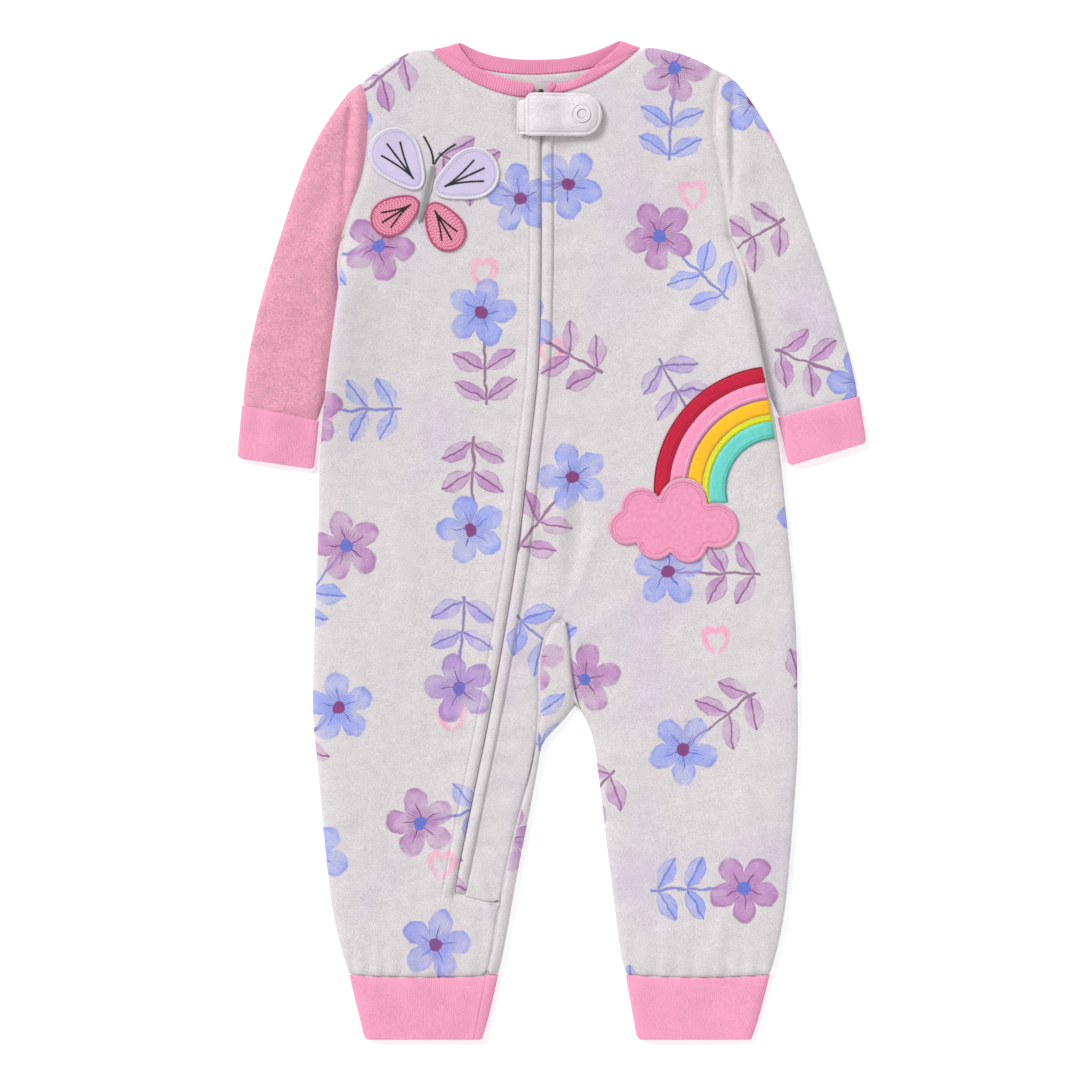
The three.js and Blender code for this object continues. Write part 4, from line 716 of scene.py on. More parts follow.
LEAF_CHART = [
    ("side", "ABSOLUTE", "u"),
    ("low", "ADD", "v", 2 * LEAF_PERIOD - LEAF_TOP), ("pair", "DIVIDE", "low", LEAF_PERIOD),
    ("pair", "FLOOR", "pair"), ("up", "MULTIPLY_ADD", "pair", -LEAF_PERIOD, "low"),
    ("up", "SUBTRACT", "up", 3.6),
    ("along", "MULTIPLY", "side", 0.87), ("along", "MULTIPLY_ADD", "up", 0.5, "along"),
    ("off", "MULTIPLY", "side", -0.5), ("off", "MULTIPLY_ADD", "up", 0.87, "off"),
    ("half", "step", "off", -0.5, 0.5), ("off", "ABSOLUTE", "off"),
    ("place", "SUBTRACT", "along", 11.8), ("place", "DIVIDE", "place", 11.0),
    ("place", "MULTIPLY", "place", "place"),
    ("leaf", "MULTIPLY_ADD", "place", -5.9, 5.9), ("leaf", "SUBTRACT", "leaf", "off"),
    ("edge", "ABSOLUTE", "leaf"),
    ("fits", "SUBTRACT", "pair", 0.5), ("fits", "ABSOLUTE", "fits"), ("fits", "LESS_THAN", "fits", 0.9),
    ("leaf", "step", "leaf", -0.5, 0.9), ("leaf", "MULTIPLY", "leaf", "fits"),
    ("line", "step", "edge", 1.0, 0.3), ("line", "MULTIPLY", "line", "wet"),
    ("rib", "step", "off", 0.9, 0.25),
    ("line", "MAXIMUM", "line", "rib"), ("line", "MULTIPLY", "line", "leaf"),
    ("shade", "MULTIPLY_ADD", "half", 0.35, 0.65), ("shade", "MULTIPLY", "shade", "tone"),
    ("shown", "MULTIPLY", "shade", "leaf"), ("ground", "paint", "shown", "ground", "leafy"),
    ("stem", "step", "side", 1.35, 0.5), ("reach", "ADD", "v", 10.0), ("reach", "ABSOLUTE", "reach"),
    ("reach", "LESS_THAN", "reach", 29.0), ("stem", "MULTIPLY", "stem", "reach"),
    ("line", "MAXIMUM", "line", "stem"), ("line", "MULTIPLY", "line", 0.8),
    ("ground", "paint", "line", "ground", "leaf_ink"),
]
HEART_CELL = 92.0
HEART_SIZE = 8.4
HEART_CHART = [
    ("hx", "DIVIDE", "x", HEART_CELL), ("hcol", "FLOOR", "hx"),
    ("hx", "MULTIPLY_ADD", "hcol", -HEART_CELL, "x"),
    ("hx", "SUBTRACT", "hx", HEART_CELL / 2), ("hx", "DIVIDE", "hx", HEART_SIZE),
    ("hy", "DIVIDE", "y", HEART_CELL), ("hrow", "FLOOR", "hy"),
    ("hy", "MULTIPLY_ADD", "hrow", -HEART_CELL, "y"),
    ("hy", "SUBTRACT", "hy", HEART_CELL / 2), ("hy", "DIVIDE", "hy", HEART_SIZE),
    ("cell", "point", "hcol", "hrow", "seed"), ("chance", "draw", "cell"), ("chance", "red", "chance"),
    ("chance", "GREATER_THAN", "chance", 0.5),
    ("across", "ABSOLUTE", "hx"), ("lobe", "POWER", "across", 0.5),
    ("lobe", "MULTIPLY_ADD", "lobe", -0.75, "hy"),
    ("lobe", "MULTIPLY", "lobe", "lobe"), ("heart", "MULTIPLY_ADD", "hx", "hx", "lobe"),
    ("heart", "SQRT", "heart"),
    ("heart", "SUBTRACT", "heart", 0.82), ("heart", "ABSOLUTE", "heart"),
    ("heart", "step", "heart", 0.36, 0.12),
    ("open", "step", "across", 0.03, 0.2), ("above", "GREATER_THAN", "hy", 0.0),
    ("open", "MAXIMUM", "open", "above"), ("heart", "MULTIPLY", "heart", "open"),
    ("heart", "MULTIPLY", "heart", "chance"), ("heart", "MULTIPLY", "heart", "tone"),
    ("ground", "paint", "heart", "ground", "heart_pink"),
]


def printed_colour(tree, where, seed):
    """The fleece's ground and its watercolour sprays, at plan points in millimetres."""
    brush = {"Vector": where, "Scale": GRAIN["brush"], "Detail": 3.0}
    wander = add_node(tree, "ShaderNodeTexNoise", brush, output=1)
    wander = add_node(tree, "ShaderNodeVectorMath", {0: wander, 1: (0.5, 0.5, 0.5)}, operation="SUBTRACT")
    wander = add_node(tree, "ShaderNodeVectorMath", {0: wander, 3: BRUSH_WANDER}, operation="SCALE")
    drawn = add_node(tree, "ShaderNodeVectorMath", {0: where, 1: wander}, operation="ADD")
    paint = add_node(
        tree, "ShaderNodeTexNoise",
        {"Vector": where, "Scale": GRAIN["water"], "Detail": 5.0, "Roughness": 0.6})
    dye = add_node(tree, "ShaderNodeTexNoise", {"Vector": where, "Scale": GRAIN["wash"], "Detail": 2.0})
    values = {"drawn": drawn, "paint": paint, "dye": dye, "seed": float(seed)}
    for key in ("periwinkle", "periwinkle_line", "mauve", "mauve_line", "fleece", "wash"):
        values[key] = colour(key)
    values["heart_pink"] = colour("heart")
    work_out(tree, values, [
        ("wet", "step", "paint", 0.36, 0.6), ("tone", "MULTIPLY_ADD", "wet", 0.45, 0.5),
        ("wash_mask", "step", "dye", 0.5, 0.75), ("ground", "paint", "wash_mask", "fleece", "wash"),
    ])
    work_out(tree, values, CELL_CHART)
    work_out(tree, values, HEART_CHART)
    work_out(tree, values, LEAF_CHART)
    work_out(tree, values, FLOWER_CHART)
    return values["ground"]


# The wrong side of the back, which shows in the neck, isn't printed.
INSIDE_CHART = [
    ("y", "along y", "where"), ("high", "step", "y", 236.0, 240.0),
    ("z", "along z", "where"), ("inner", "step", "z", 0.9, 1.4), ("inner", "MULTIPLY", "inner", "high"),
    ("ground", "paint", "inner", "ground", "fleece"),
]

# How much of the fleece's unevenness comes from its pile, and not from single tufts of its nap.
PILE_SHARE = 0.15


def plan_points(tree, shift=(0.0, 0.0), turn=0.0):
    """Plan points in millimetres, moved and turned as the cloth was cut."""
    place = add_node(tree, "ShaderNodeTexCoord", output="Object")
    return add_node(
        tree, "ShaderNodeMapping",
        {"Vector": place, "Location": (shift[0], shift[1], 0.0), "Rotation": (0.0, 0.0, math.radians(turn)),
         "Scale": (1 / MM, 1 / MM, 1 / MM)})


def fleece(
        name, ground=None, shift=(0.0, 0.0), turn=0.0, seed=1, nap_contrast=0.17, sheen=0.3, inside=False):
    """Brushed polyester fleece: matt and soft, with a short nap that lies unevenly and catches the
    light at grazing angles. It is printed unless it has a ground colour of its own. With inside, the
    wrong side that shows in the neck is left unprinted."""
    material, tree = new_material(name)
    where = plan_points(tree)
    cut = plan_points(tree, shift, turn)
    shade = colour(ground)[:3] if ground else printed_colour(tree, cut, seed)
    if inside:
        inner = {"where": where, "ground": shade, "fleece": colour("fleece")}
        shade = work_out(tree, inner, INSIDE_CHART)["ground"]
    nap = add_node(
        tree, "ShaderNodeTexNoise",
        {"Vector": where, "Scale": GRAIN["nap"], "Detail": 4.0, "Roughness": 0.75})
    pile = add_node(tree, "ShaderNodeTexNoise", {"Vector": where, "Scale": GRAIN["pile"], "Detail": 3.0})
    speck = add_node(tree, "ShaderNodeMath", {0: nap, 1: 1 - PILE_SHARE}, operation="MULTIPLY")
    speck = add_node(tree, "ShaderNodeMath", {0: pile, 1: PILE_SHARE, 2: speck}, operation="MULTIPLY_ADD")
    shade = toned(tree, shade, speck, (0.36, 0.64), (1 - nap_contrast, 1 + nap_contrast))
    bump = add_node(tree, "ShaderNodeBump", {"Height": speck, "Strength": 0.8, "Distance": 0.8 * MM})
    finish_material(tree, {
        "Base Color": shade, "Roughness": 0.95, "Specular IOR Level": 0.2, "Sheen Weight": sheen,
        "Sheen Roughness": 0.5, "Normal": bump,
    })
    return material


# The neck binding's ribs fan out from one point, at a pitch measured at the seam's mean radius.
NECK_FAN = {"x": -10.0, "y": 375.0, "radius": 92.0, "pitch": 1.5}
# The ribs' rise gives the binding's bump. Its tone also paints each rib lighter and the grooves between them
# darker: painted light and shade.
FAN_CHART = [
    ("x", "along x", "where"), ("y", "along y", "where"),
    ("x", "SUBTRACT", "x", NECK_FAN["x"]), ("y", "SUBTRACT", NECK_FAN["y"], "y"),
    ("turn", "ARCTAN2", "x", "y"),
    ("wale", "MULTIPLY", "turn", 2 * math.pi * NECK_FAN["radius"] / NECK_FAN["pitch"]),
    ("wale", "SINE", "wale"), ("wale", "MULTIPLY_ADD", "wale", 0.4, "yarn"),
]


def knitted(name, key, fanned=False):
    """Cotton rib knit: matt, with fine wales whose loops show as small soft dashes. On the fanned neck
    binding the colour is also painted lighter on each rib and darker between them: painted light and shade.
    """
    material, tree = new_material(name)
    where = plan_points(tree)
    yarn = add_node(tree, "ShaderNodeTexNoise", {"Vector": where, "Scale": GRAIN["yarn"], "Detail": 3.0})
    if fanned:
        yarn = work_out(tree, {"where": where, "yarn": yarn}, FAN_CHART)["wale"]
    cloth = add_node(tree, "ShaderNodeTexNoise", {"Vector": where, "Scale": GRAIN["dyeing"], "Detail": 2.0})
    # Fanned, the yarn's tone follows the ribs: painted light on their ridges and painted shade in their
    # grooves. Unfanned, as on the cuffs, it follows only the yarn's grain.
    shade = toned(tree, colour(key)[:3], yarn, (0.3, 0.7), (0.86 if fanned else 0.88, 1.06))
    shade = toned(tree, shade, cloth, (0.3, 0.7), (0.95, 1.03))
    bump = add_node(tree, "ShaderNodeBump", {"Height": yarn, "Strength": 0.5, "Distance": 0.4 * MM})
    finish_material(tree, {
        "Base Color": shade, "Roughness": 0.9, "Specular IOR Level": 0.2, "Sheen Weight": 0.15,
        "Normal": bump,
    })
    return material


def woven(name, key, thread=0.5, roughness=0.7, specular=0.3, sheen=0.1, weave=0.5):
    """Satin, felt, tape or dense stitching: threads side by side, at a pitch in millimetres, which give
    a fine grain and, on satin, a soft shine."""
    material, tree = new_material(name)
    where = plan_points(tree)
    weft = add_node(
        tree, "ShaderNodeTexWave",
        {"Vector": where, "Scale": 1 / (2 * thread) / math.pi, "Distortion": 1.5, "Detail": 1.0,
         "Detail Scale": 0.4})
    soft = add_node(tree, "ShaderNodeTexNoise", {"Vector": where, "Scale": GRAIN["felting"], "Detail": 4.0})
    height = add_node(tree, "ShaderNodeMath", {0: weft, 1: weave, 2: soft}, operation="MULTIPLY_ADD")
    shade = toned(tree, colour(key)[:3], height, (0.35, 0.65 + weave), (0.9, 1.05))
    bump = add_node(tree, "ShaderNodeBump", {"Height": height, "Strength": 0.3, "Distance": 0.3 * MM})
    finish_material(tree, {
        "Base Color": shade, "Roughness": roughness, "Specular IOR Level": specular, "Sheen Weight": sheen,
        "Normal": bump,
    })
    return material


def lacquer(name, key, roughness=0.35, metallic=0.0):
    """Stove enamel or moulded nylon: smooth and a little glossy, with faint unevenness in the coat."""
    material, tree = new_material(name)
    where = plan_points(tree)
    uneven = add_node(tree, "ShaderNodeTexNoise", {"Vector": where, "Scale": GRAIN["coat"], "Detail": 2.0})
    rough = add_node(
        tree, "ShaderNodeMapRange",
        {"Value": uneven, "To Min": roughness - 0.06, "To Max": roughness + 0.1})
    bump = add_node(tree, "ShaderNodeBump", {"Height": uneven, "Strength": 0.08, "Distance": 0.1 * MM})
    finish_material(tree, {
        "Base Color": colour(key), "Roughness": rough, "Metallic": metallic, "Normal": bump,
    })
    return material


def thread(key):
    """Glossy polyester embroidery thread: a soft shine along each twisted strand."""
    name = f"polyester_thread_{key}"
    if name in bpy.data.materials:
        return bpy.data.materials[name]
    material, tree = new_material(name)
    where = plan_points(tree)
    twist = add_node(tree, "ShaderNodeTexNoise", {"Vector": where, "Scale": GRAIN["twist"], "Detail": 2.0})
    shade = toned(tree, colour(key)[:3], twist, (0.3, 0.7), (0.88, 1.05))
    finish_material(tree, {
        "Base Color": shade, "Roughness": 0.5, "Specular IOR Level": 0.4, "Sheen Weight": 0.1,
    })
    return material


# Finished pieces that others rest on or are laid on, by a short name, and the fronts' surface.
MADE = {}

WORLD_STRENGTH = 0.52
# The table's glow, half its width, and its top, just below the part.
TABLE_GLOW = 0.4
TABLE_HALF = 4.0
TABLE_CORNERS = [(-1, -1), (1, -1), (1, 1), (-1, 1)]
TABLE_TOP = -0.1 * MM
# The camera's height and middle, and the width of what it sees there, in metres.
EYE_HEIGHT = 3.0
EYE_PLACE = (-0.0074, -0.0012)
VIEW_WIDE = 0.6696
SENSOR_WIDE = 36.0
# Name, kind, place, spread (degrees or metres) and power.
LAMPS = [
    ("key", "SUN", (-2.3, 2.1, 2.2), 22.0, 2.8),
    ("fill", "AREA", (2.4, -1.0, 2.4), 1.8, 26.0),
]


class ROMPER_OT_stage(bpy.types.Operator):
    """Sets up a pale table, soft lights and a camera straight above"""
    bl_idname = "romper.stage"
    bl_label = "Stage"

    def execute(self, context):
        scene = context.scene
        mesh = bpy.data.meshes.new("floor")
        corners = [(x * TABLE_HALF, y * TABLE_HALF, TABLE_TOP) for x, y in TABLE_CORNERS]
        mesh.from_pydata(corners, [], [(0, 1, 2, 3)])
        floor = bpy.data.objects.new("floor", mesh)
        scene.collection.objects.link(floor)
        material, tree = new_material("pale_light_table")
        finish_material(tree, {
            "Base Color": colour("table"), "Roughness": 0.9, "Specular IOR Level": 0.1,
            "Emission Color": colour("light"), "Emission Strength": TABLE_GLOW,
        })
        mesh.materials.append(material)

        camera = bpy.data.cameras.new("camera")
        camera.sensor_width = SENSOR_WIDE
        camera.lens = SENSOR_WIDE * EYE_HEIGHT / VIEW_WIDE
        camera.clip_end = 20.0
        eye = bpy.data.objects.new("camera", camera)
        eye.location = (*EYE_PLACE, EYE_HEIGHT)
        scene.collection.objects.link(eye)
        scene.camera = eye

        for name, kind, place, spread, power in LAMPS:
            lamp = bpy.data.lights.new(name, kind)
            lamp.energy = power
            if kind == "SUN":
                lamp.angle = math.radians(spread)
            else:
                lamp.shape = "DISK"
                lamp.size = spread
            holder = bpy.data.objects.new(name, lamp)
            holder.location = place
            holder.rotation_euler = (-Vector(place)).to_track_quat("-Z", "Y").to_euler()
            scene.collection.objects.link(holder)
        world = bpy.data.worlds.new("studio")
        world.use_nodes = True
        back = world.node_tree.nodes["Background"]
        back.inputs["Color"].default_value = colour("light")
        back.inputs["Strength"].default_value = WORLD_STRENGTH
        scene.world = world
        scene.view_settings.view_transform = "Standard"
        return {"FINISHED"}


class ROMPER_OT_panels(bpy.types.Operator):
    """Lays the back and the two fronts"""
    bl_idname = "romper.panels"
    bl_label = "Back and fronts"

    def execute(self, context):
        MADE["back"] = finish_piece(
            cloth_from("back_panel", 2), "back_panel", "printed_fleece",
            fleece("brushed_fleece_back", shift=(31, 54), turn=180, seed=4, inside=True))
        MADE["right"] = finish_piece(
            cloth_from("front_panel_right", 3, folded=True), "front_panel_right", "printed_fleece",
            fleece("brushed_fleece_right_front", shift=(8, -20), turn=4, seed=2))
        MADE["left"] = finish_piece(
            cloth_from("front_panel_left", 3, folded=True), "front_panel_left", "printed_fleece",
            fleece("brushed_fleece_left_front", shift=(40, 26), turn=-3, seed=7))
        return {"FINISHED"}


class ROMPER_OT_sleeves(bpy.types.Operator):
    """Lays the plain pink right sleeve and the printed left sleeve"""
    bl_idname = "romper.sleeves"
    bl_label = "Sleeves"

    def execute(self, context):
        MADE["sleeve_right"] = finish_piece(
            cloth_from("sleeve_right", 3), "sleeve_right", "pink_fleece",
            fleece("brushed_fleece_pink", ground="pink_fleece", nap_contrast=0.3, sheen=0.5))
        MADE["sleeve_left"] = finish_piece(
            cloth_from("sleeve_left", 3), "sleeve_left", "printed_fleece",
            fleece("brushed_fleece_left_sleeve", shift=(0, 40), turn=20, seed=9))
        return {"FINISHED"}


# Each cuff: the ends of its sewn edge and of its free edge, and how far the sewn edge bows.
CUFFS = {
    "cuff_sleeve_right": ((-192.2, 82.1), (-144.4, 71.9), (-195.0, 49.6), (-147.4, 42.6), 0.0),
    "cuff_sleeve_left": ((140.0, 74.2), (190.4, 87.6), (146.6, 44.6), (195.0, 59.0), 0.0),
    "cuff_leg_right": ((-125.6, -270.8), (-33.2, -270.8), (-116.0, -310.5), (-42.2, -310.5), -1.8),
    "cuff_leg_left": ((45.6, -270.8), (135.0, -270.8), (52.6, -310.5), (124.8, -310.5), -1.8),
}
# How far in from its sides a cuff rounds away, the round of its free corners, how many points a rib
# takes, and the seam that shows on one cuff.
CUFF_ROUND = 8.0
CUFF_CORNER = 3.2
RIB_STEPS = 6
CUFF_SEAM = {"cuff": "cuff_leg_right", "from_end": 7.4, "width": 0.6, "depth": 0.45}
# Where the rings of a cuff lie, from its free edge to its sewn one.
CUFF_ROWS = [0, 0.012, 0.04, 0.12, 0.25, 0.4, 0.55, 0.7, 0.85, 0.95, 1.0]


def cuff_mesh(name, sewn_from, sewn_to, free_from, free_to, sag):
    """A flattened tube of rib knit, its ribs fanned between the two ends, open at the free edge."""
    size = sizes()
    wide = math.hypot(sewn_to[0] - sewn_from[0], sewn_to[1] - sewn_from[1])
    ribs = round(wide / size["rib_pitch"])
    count = ribs * RIB_STEPS
    u = np.arange(count + 1) / count
    edge = np.clip(np.minimum(u, 1 - u) * wide / CUFF_ROUND, 0, 1)
    rounded = np.sqrt(1 - (1 - edge) ** 2)
    rib = size["rib_depth"] * (np.abs(np.cos(math.pi * u * ribs)) ** 0.8 - 1) * smooth(0, 0.25, edge)
    seam = CUFF_SEAM["depth"] * np.exp(-((wide * (1 - u) - CUFF_SEAM["from_end"]) / CUFF_SEAM["width"]) ** 2)
    rib = rib - seam * (name == CUFF_SEAM["cuff"])
    near_corner = 1 - np.clip(np.minimum(u, 1 - u) * wide / CUFF_CORNER, 0, 1)
    corner = CUFF_CORNER * (1 - np.sqrt(1 - near_corner ** 2))
    upwards = np.array(sewn_from, float) - np.array(free_from)
    upwards /= np.linalg.norm(upwards)
    loops = []

    def loop(v, wall):
        """One ring round the tube: wall is how far inside the outer face."""
        start = np.array(free_from) + (np.array(sewn_from) - np.array(free_from)) * v
        end = np.array(free_to) + (np.array(sewn_to) - np.array(free_to)) * v
        across = (end - start) / np.linalg.norm(end - start)
        inset = wall * (1 - edge) * np.sign(0.5 - u)
        x = start[0] + (end[0] - start[0]) * u + across[0] * inset
        y = start[1] + (end[1] - start[1]) * u + across[1] * inset
        shift = corner * (1 - v) ** 6
        x = x + upwards[0] * shift
        y = y + upwards[1] * shift + sag * 4 * u * (1 - u) * v ** 2
        half = CUFF_HEIGHT / 2
        bump = rib if wall == 0 else 0
        reach = (half - wall) * rounded
        top = np.stack([x, y, half + reach + bump], 1)
        under = np.stack([x, y, half - reach], 1)
        return np.vstack([top, under[-2:0:-1]])

    for v in reversed(CUFF_ROWS):
        loops.append(loop(v, 0))
    loops.append(loop(0, CUFF_WALL))
    for v in CUFF_ROWS[2:]:
        loops.append(loop(v, CUFF_WALL))
    faces = faces_between(len(loops), len(loops[0]), joined=True)
    return closed_mesh(name, soften(np.vstack(loops)), faces, welded=False)


class ROMPER_OT_cuffs(bpy.types.Operator):
    """Knits the four rib cuffs"""
    bl_idname = "romper.cuffs"
    bl_label = "Cuffs"

    def execute(self, context):
        rib = knitted("cotton_rib_cuffs", "rib")
        for node, outline in CUFFS.items():
            piece = new_object(f"{node}_knit", cuff_mesh(node, *outline))
            MADE[node] = finish_piece(piece, node, "pink_rib", rib)
        return {"FINISHED"}


# Where the binding's ends are folded in beside the zip: middle, and tilt in degrees. Then their half
# sizes, the height of their middle, and how lumpy they are.
BINDING_ENDS = [(-13.0, 277.6, 12.0), (-0.7, 278.6, -10.0)]
BINDING_END_SIZE = (2.5, 3.9, 1.5)
BINDING_END_HEIGHT = 6.9
LUMPS = {"waves": 6, "rise": 0.05, "stride": 5, "seed": 5}


def folded_end(x, y, tilt):
    """One lumpy, tucked-in end of the binding, as a closed mesh."""
    work = bmesh.new()
    bmesh.ops.create_icosphere(work, subdivisions=4, radius=1.0)
    cosine = math.cos(math.radians(tilt))
    sine = math.sin(math.radians(tilt))
    rng = np.random.default_rng(LUMPS["seed"])
    waves = rng.uniform(-1, 1, (LUMPS["waves"], 4))
    for vertex in work.verts:
        p = vertex.co
        turns = [LUMPS["stride"] * (a * p.x + b * p.y + c * p.z) + 6 * phase for a, b, c, phase in waves]
        lump = LUMPS["rise"] * sum(math.sin(turn) for turn in turns)
        u, v, w = (k * size * (1 + lump) for k, size in zip(p, BINDING_END_SIZE))
        plan = (x + u * cosine - v * sine, y + u * sine + v * cosine)
        vertex.co = Vector((*plan, BINDING_END_HEIGHT + w)) * MM
    mesh = bpy.data.meshes.new("folded_end")
    work.to_mesh(mesh)
    work.free()
    mesh.shade_smooth()
    return mesh


class ROMPER_OT_neck(bpy.types.Operator):
    """Binds the neck"""
    bl_idname = "romper.neck"
    bl_label = "Neck binding"

    def execute(self, context):
        binding = cloth_from("neck_binding", 3)
        add_meshes(binding, [folded_end(*place) for place in BINDING_ENDS])
        MADE["binding"] = finish_piece(
            binding, "neck_binding", "neck_rib",
            knitted("cotton_rib_binding", "neck_rib", fanned=True))
        return {"FINISHED"}


# A seam allowance: half its width, how far off it feels for the two edges, how deep it lies under
# them, and the step along it. Where the edges are further apart than this, it drops from the upper.
STRIP = {
    "half": 2.4, "feel": 1.8, "sink": 0.35, "step": 1.3, "apart": 2.2, "drop": 1.5, "missing": 5.0,
    "evened": 5,
}
# Its section: share of the half width, and height.
STRIP_SECTION = [
    (-1, -0.9), (-0.5, -0.2), (0, 0), (0.5, -0.2), (1, -0.9), (1, -1.4), (0, -0.6), (-1, -1.4),
]


def seam_strip(line, surface, sink=STRIP["sink"]):
    """A closed narrow strip of cloth along a seam, just under both edges: the allowance in the seam."""
    plan = even(line, STRIP["step"])
    along = np.gradient(plan, axis=0)
    along /= np.hypot(*along.T)[:, None]
    across = np.stack([-along[:, 1], along[:, 0]], 1)
    heights = []
    for place, side in zip(plan, across):
        edges = [place + side * sign * STRIP["feel"] for sign in (-1, 1)]
        felt = [surface.height(*edge, missing=STRIP["missing"]) for edge in edges]
        apart = max(felt) - min(felt) > STRIP["apart"]
        heights.append(max(felt) - STRIP["drop"] if apart else min(felt) - sink)
    window = STRIP["evened"]
    heights = np.convolve(np.pad(heights, window // 2, mode="edge"), np.ones(window) / window, mode="valid")
    points = []
    for place, side, height in zip(plan, across, heights):
        for offset, drop in STRIP_SECTION:
            x, y = place + side * offset * STRIP["half"]
            points.append((x, y, height + drop))
    wide = len(STRIP_SECTION)
    faces = faces_between(len(plan), wide)
    faces.append(tuple(range(wide)))
    faces.append(tuple(len(points) - 1 - i for i in range(wide)))
    mesh = closed_mesh("allowance", points, faces, welded=False)
    mesh.shade_smooth()
    return mesh


def add_meshes(piece, meshes):
    """Joins closed meshes to a piece."""
    work = bmesh.new()
    work.from_mesh(piece.data)
    for mesh in meshes:
        work.from_mesh(mesh)
    work.to_mesh(piece.data)
    work.free()
    piece.data.update()


# Short strips where seams meet: the crotch's top, the closing seam's end and the right leg's hem.
CROSSINGS = [
    [(2.4, -46.0), (5.0, -49.5), (8.6, -53.0)], [(8.4, -46.5), (5.4, -50.5), (2.0, -54.0)],
    [(-40.0, -225.6), (-35.0, -227.0), (-29.5, -228.2)], [(-37.0, -222.0), (-34.2, -227.0), (-31.5, -233.0)],
    [(-45.0, -269.0), (-40.4, -269.6), (-36.0, -269.8)], [(-38.6, -264.0), (-40.2, -269.8), (-41.6, -273.0)],
]
# From where to where the back neck's seam shows between the two sides of the binding.
BACK_SEAM_SHOWS = (-31, 15)
# The crotch's lap isn't drawn shut, and its allowance lies deep between the two edges.
CROTCH_SINK = 1.7
# That of the closing seam lies almost level with them.
CLOSING_SINK = 0.05
# The neck's allowance ends this far from the zip.
ZIP_CLEAR = 3


class ROMPER_OT_seams(bpy.types.Operator):
    """Lays the seam allowances that show in the seams"""
    bl_idname = "romper.seams"
    bl_label = "Seam allowances"

    def execute(self, context):
        names = ["back", "right", "left", "sleeve_right", "sleeve_left", "binding", *CUFFS]
        surface = Surface([MADE[name] for name in names])
        front_neck = along_neck(NECK_FRONT, NECK_GAP)[2:-2]
        back_neck = along_neck(NECK_BACK, NECK_GAP)
        from_x, to_x = BACK_SEAM_SHOWS
        lines = {
            "right": [
                rows_between(ARMHOLE_RIGHT, 186, 281, 40, -0.35),
                cross_line((-124, HEM_SEAM), (-35, HEM_SEAM), -HEM_SAG, 40),
                rows_between(INSEAM, -50, -268, 90, 0.22),
                front_neck[front_neck[:, 0] < ZIP[0][1] - ZIP_CLEAR],
            ],
            "left": [
                rows_between(ARMHOLE_LEFT, 186, 286, 40, 0.35),
                cross_line((47, HEM_SEAM), (133.5, HEM_SEAM), -HEM_SAG, 40),
                *[np.array(line, float) for line in CROSSINGS],
                front_neck[front_neck[:, 0] > ZIP[0][1] + ZIP_CLEAR],
            ],
            "sleeve_right": [cross_line((-190, 81.8), (-146.5, 72.5), 0, 20)],
            "sleeve_left": [cross_line((142, 74.9), (188.5, 87.3), 0, 20)],
            "back": [back_neck[(back_neck[:, 0] > from_x) & (back_neck[:, 0] < to_x)]],
        }
        for name, routes in lines.items():
            add_meshes(MADE[name], [seam_strip(line, surface) for line in routes])
        lap = rows_between(CROTCH_LAP, -49, -103, 30, 0.4)
        add_meshes(MADE["left"], [
            seam_strip(lap, surface, CROTCH_SINK), seam_strip(closing_seam(), surface, CLOSING_SINK)])
        return {"FINISHED"}


def thread_tree():
    """Geometry nodes that lay one small stitch after another along every spline of a curve."""
    name = "stitches_along"
    if name in bpy.data.node_groups:
        return bpy.data.node_groups[name]
    tree = bpy.data.node_groups.new(name, "GeometryNodeTree")
    sockets = [
        ("Geometry", "INPUT", "NodeSocketGeometry"), ("Pitch", "INPUT", "NodeSocketFloat"),
        ("Size", "INPUT", "NodeSocketVector"), ("Unevenness", "INPUT", "NodeSocketFloat"),
        ("Seed", "INPUT", "NodeSocketInt"), ("Thread", "INPUT", "NodeSocketMaterial"),
        ("Geometry", "OUTPUT", "NodeSocketGeometry"),
    ]
    for label, direction, kind in sockets:
        tree.interface.new_socket(name=label, in_out=direction, socket_type=kind)
    start = tree.nodes.new("NodeGroupInput")
    given = {socket.name: socket for socket in start.outputs}
    spaced = add_node(
        tree, "GeometryNodeResampleCurve", {"Curve": given["Geometry"], "Length": given["Pitch"]},
        mode="LENGTH")
    tangent = add_node(tree, "GeometryNodeInputTangent")
    turned = add_node(
        tree, "FunctionNodeAlignRotationToVector", {"Vector": tangent}, axis="X", pivot_axis="Z")
    spread = add_node(
        tree, "ShaderNodeMath", {0: given["Unevenness"], 1: -1.0}, operation="MULTIPLY")
    chance = add_node(
        tree, "FunctionNodeRandomValue", {2: spread, 3: given["Unevenness"], "Seed": given["Seed"]},
        output=1, data_type="FLOAT")
    tilt = add_node(tree, "ShaderNodeCombineXYZ", {2: chance})
    turned = add_node(
        tree, "FunctionNodeRotateRotation", {"Rotation": turned, "Rotate By": tilt}, rotation_space="LOCAL")
    longer = add_node(tree, "ShaderNodeMath", {0: chance, 1: 1.0}, operation="ADD")
    scale = add_node(tree, "ShaderNodeVectorMath", {0: given["Size"], 3: longer}, operation="SCALE")
    stitch = add_node(tree, "GeometryNodeMeshUVSphere", {"Segments": 8, "Rings": 4, "Radius": 0.5})
    laid = add_node(
        tree, "GeometryNodeInstanceOnPoints",
        {"Points": spaced, "Instance": stitch, "Rotation": turned, "Scale": scale})
    real = add_node(tree, "GeometryNodeRealizeInstances", {"Geometry": laid})
    shaded = add_node(tree, "GeometryNodeSetShadeSmooth", {"Geometry": real})
    final = add_node(tree, "GeometryNodeSetMaterial", {"Geometry": shaded, "Material": given["Thread"]})
    end = tree.nodes.new("NodeGroupOutput")
    tree.links.new(final, end.inputs[0])
    return tree


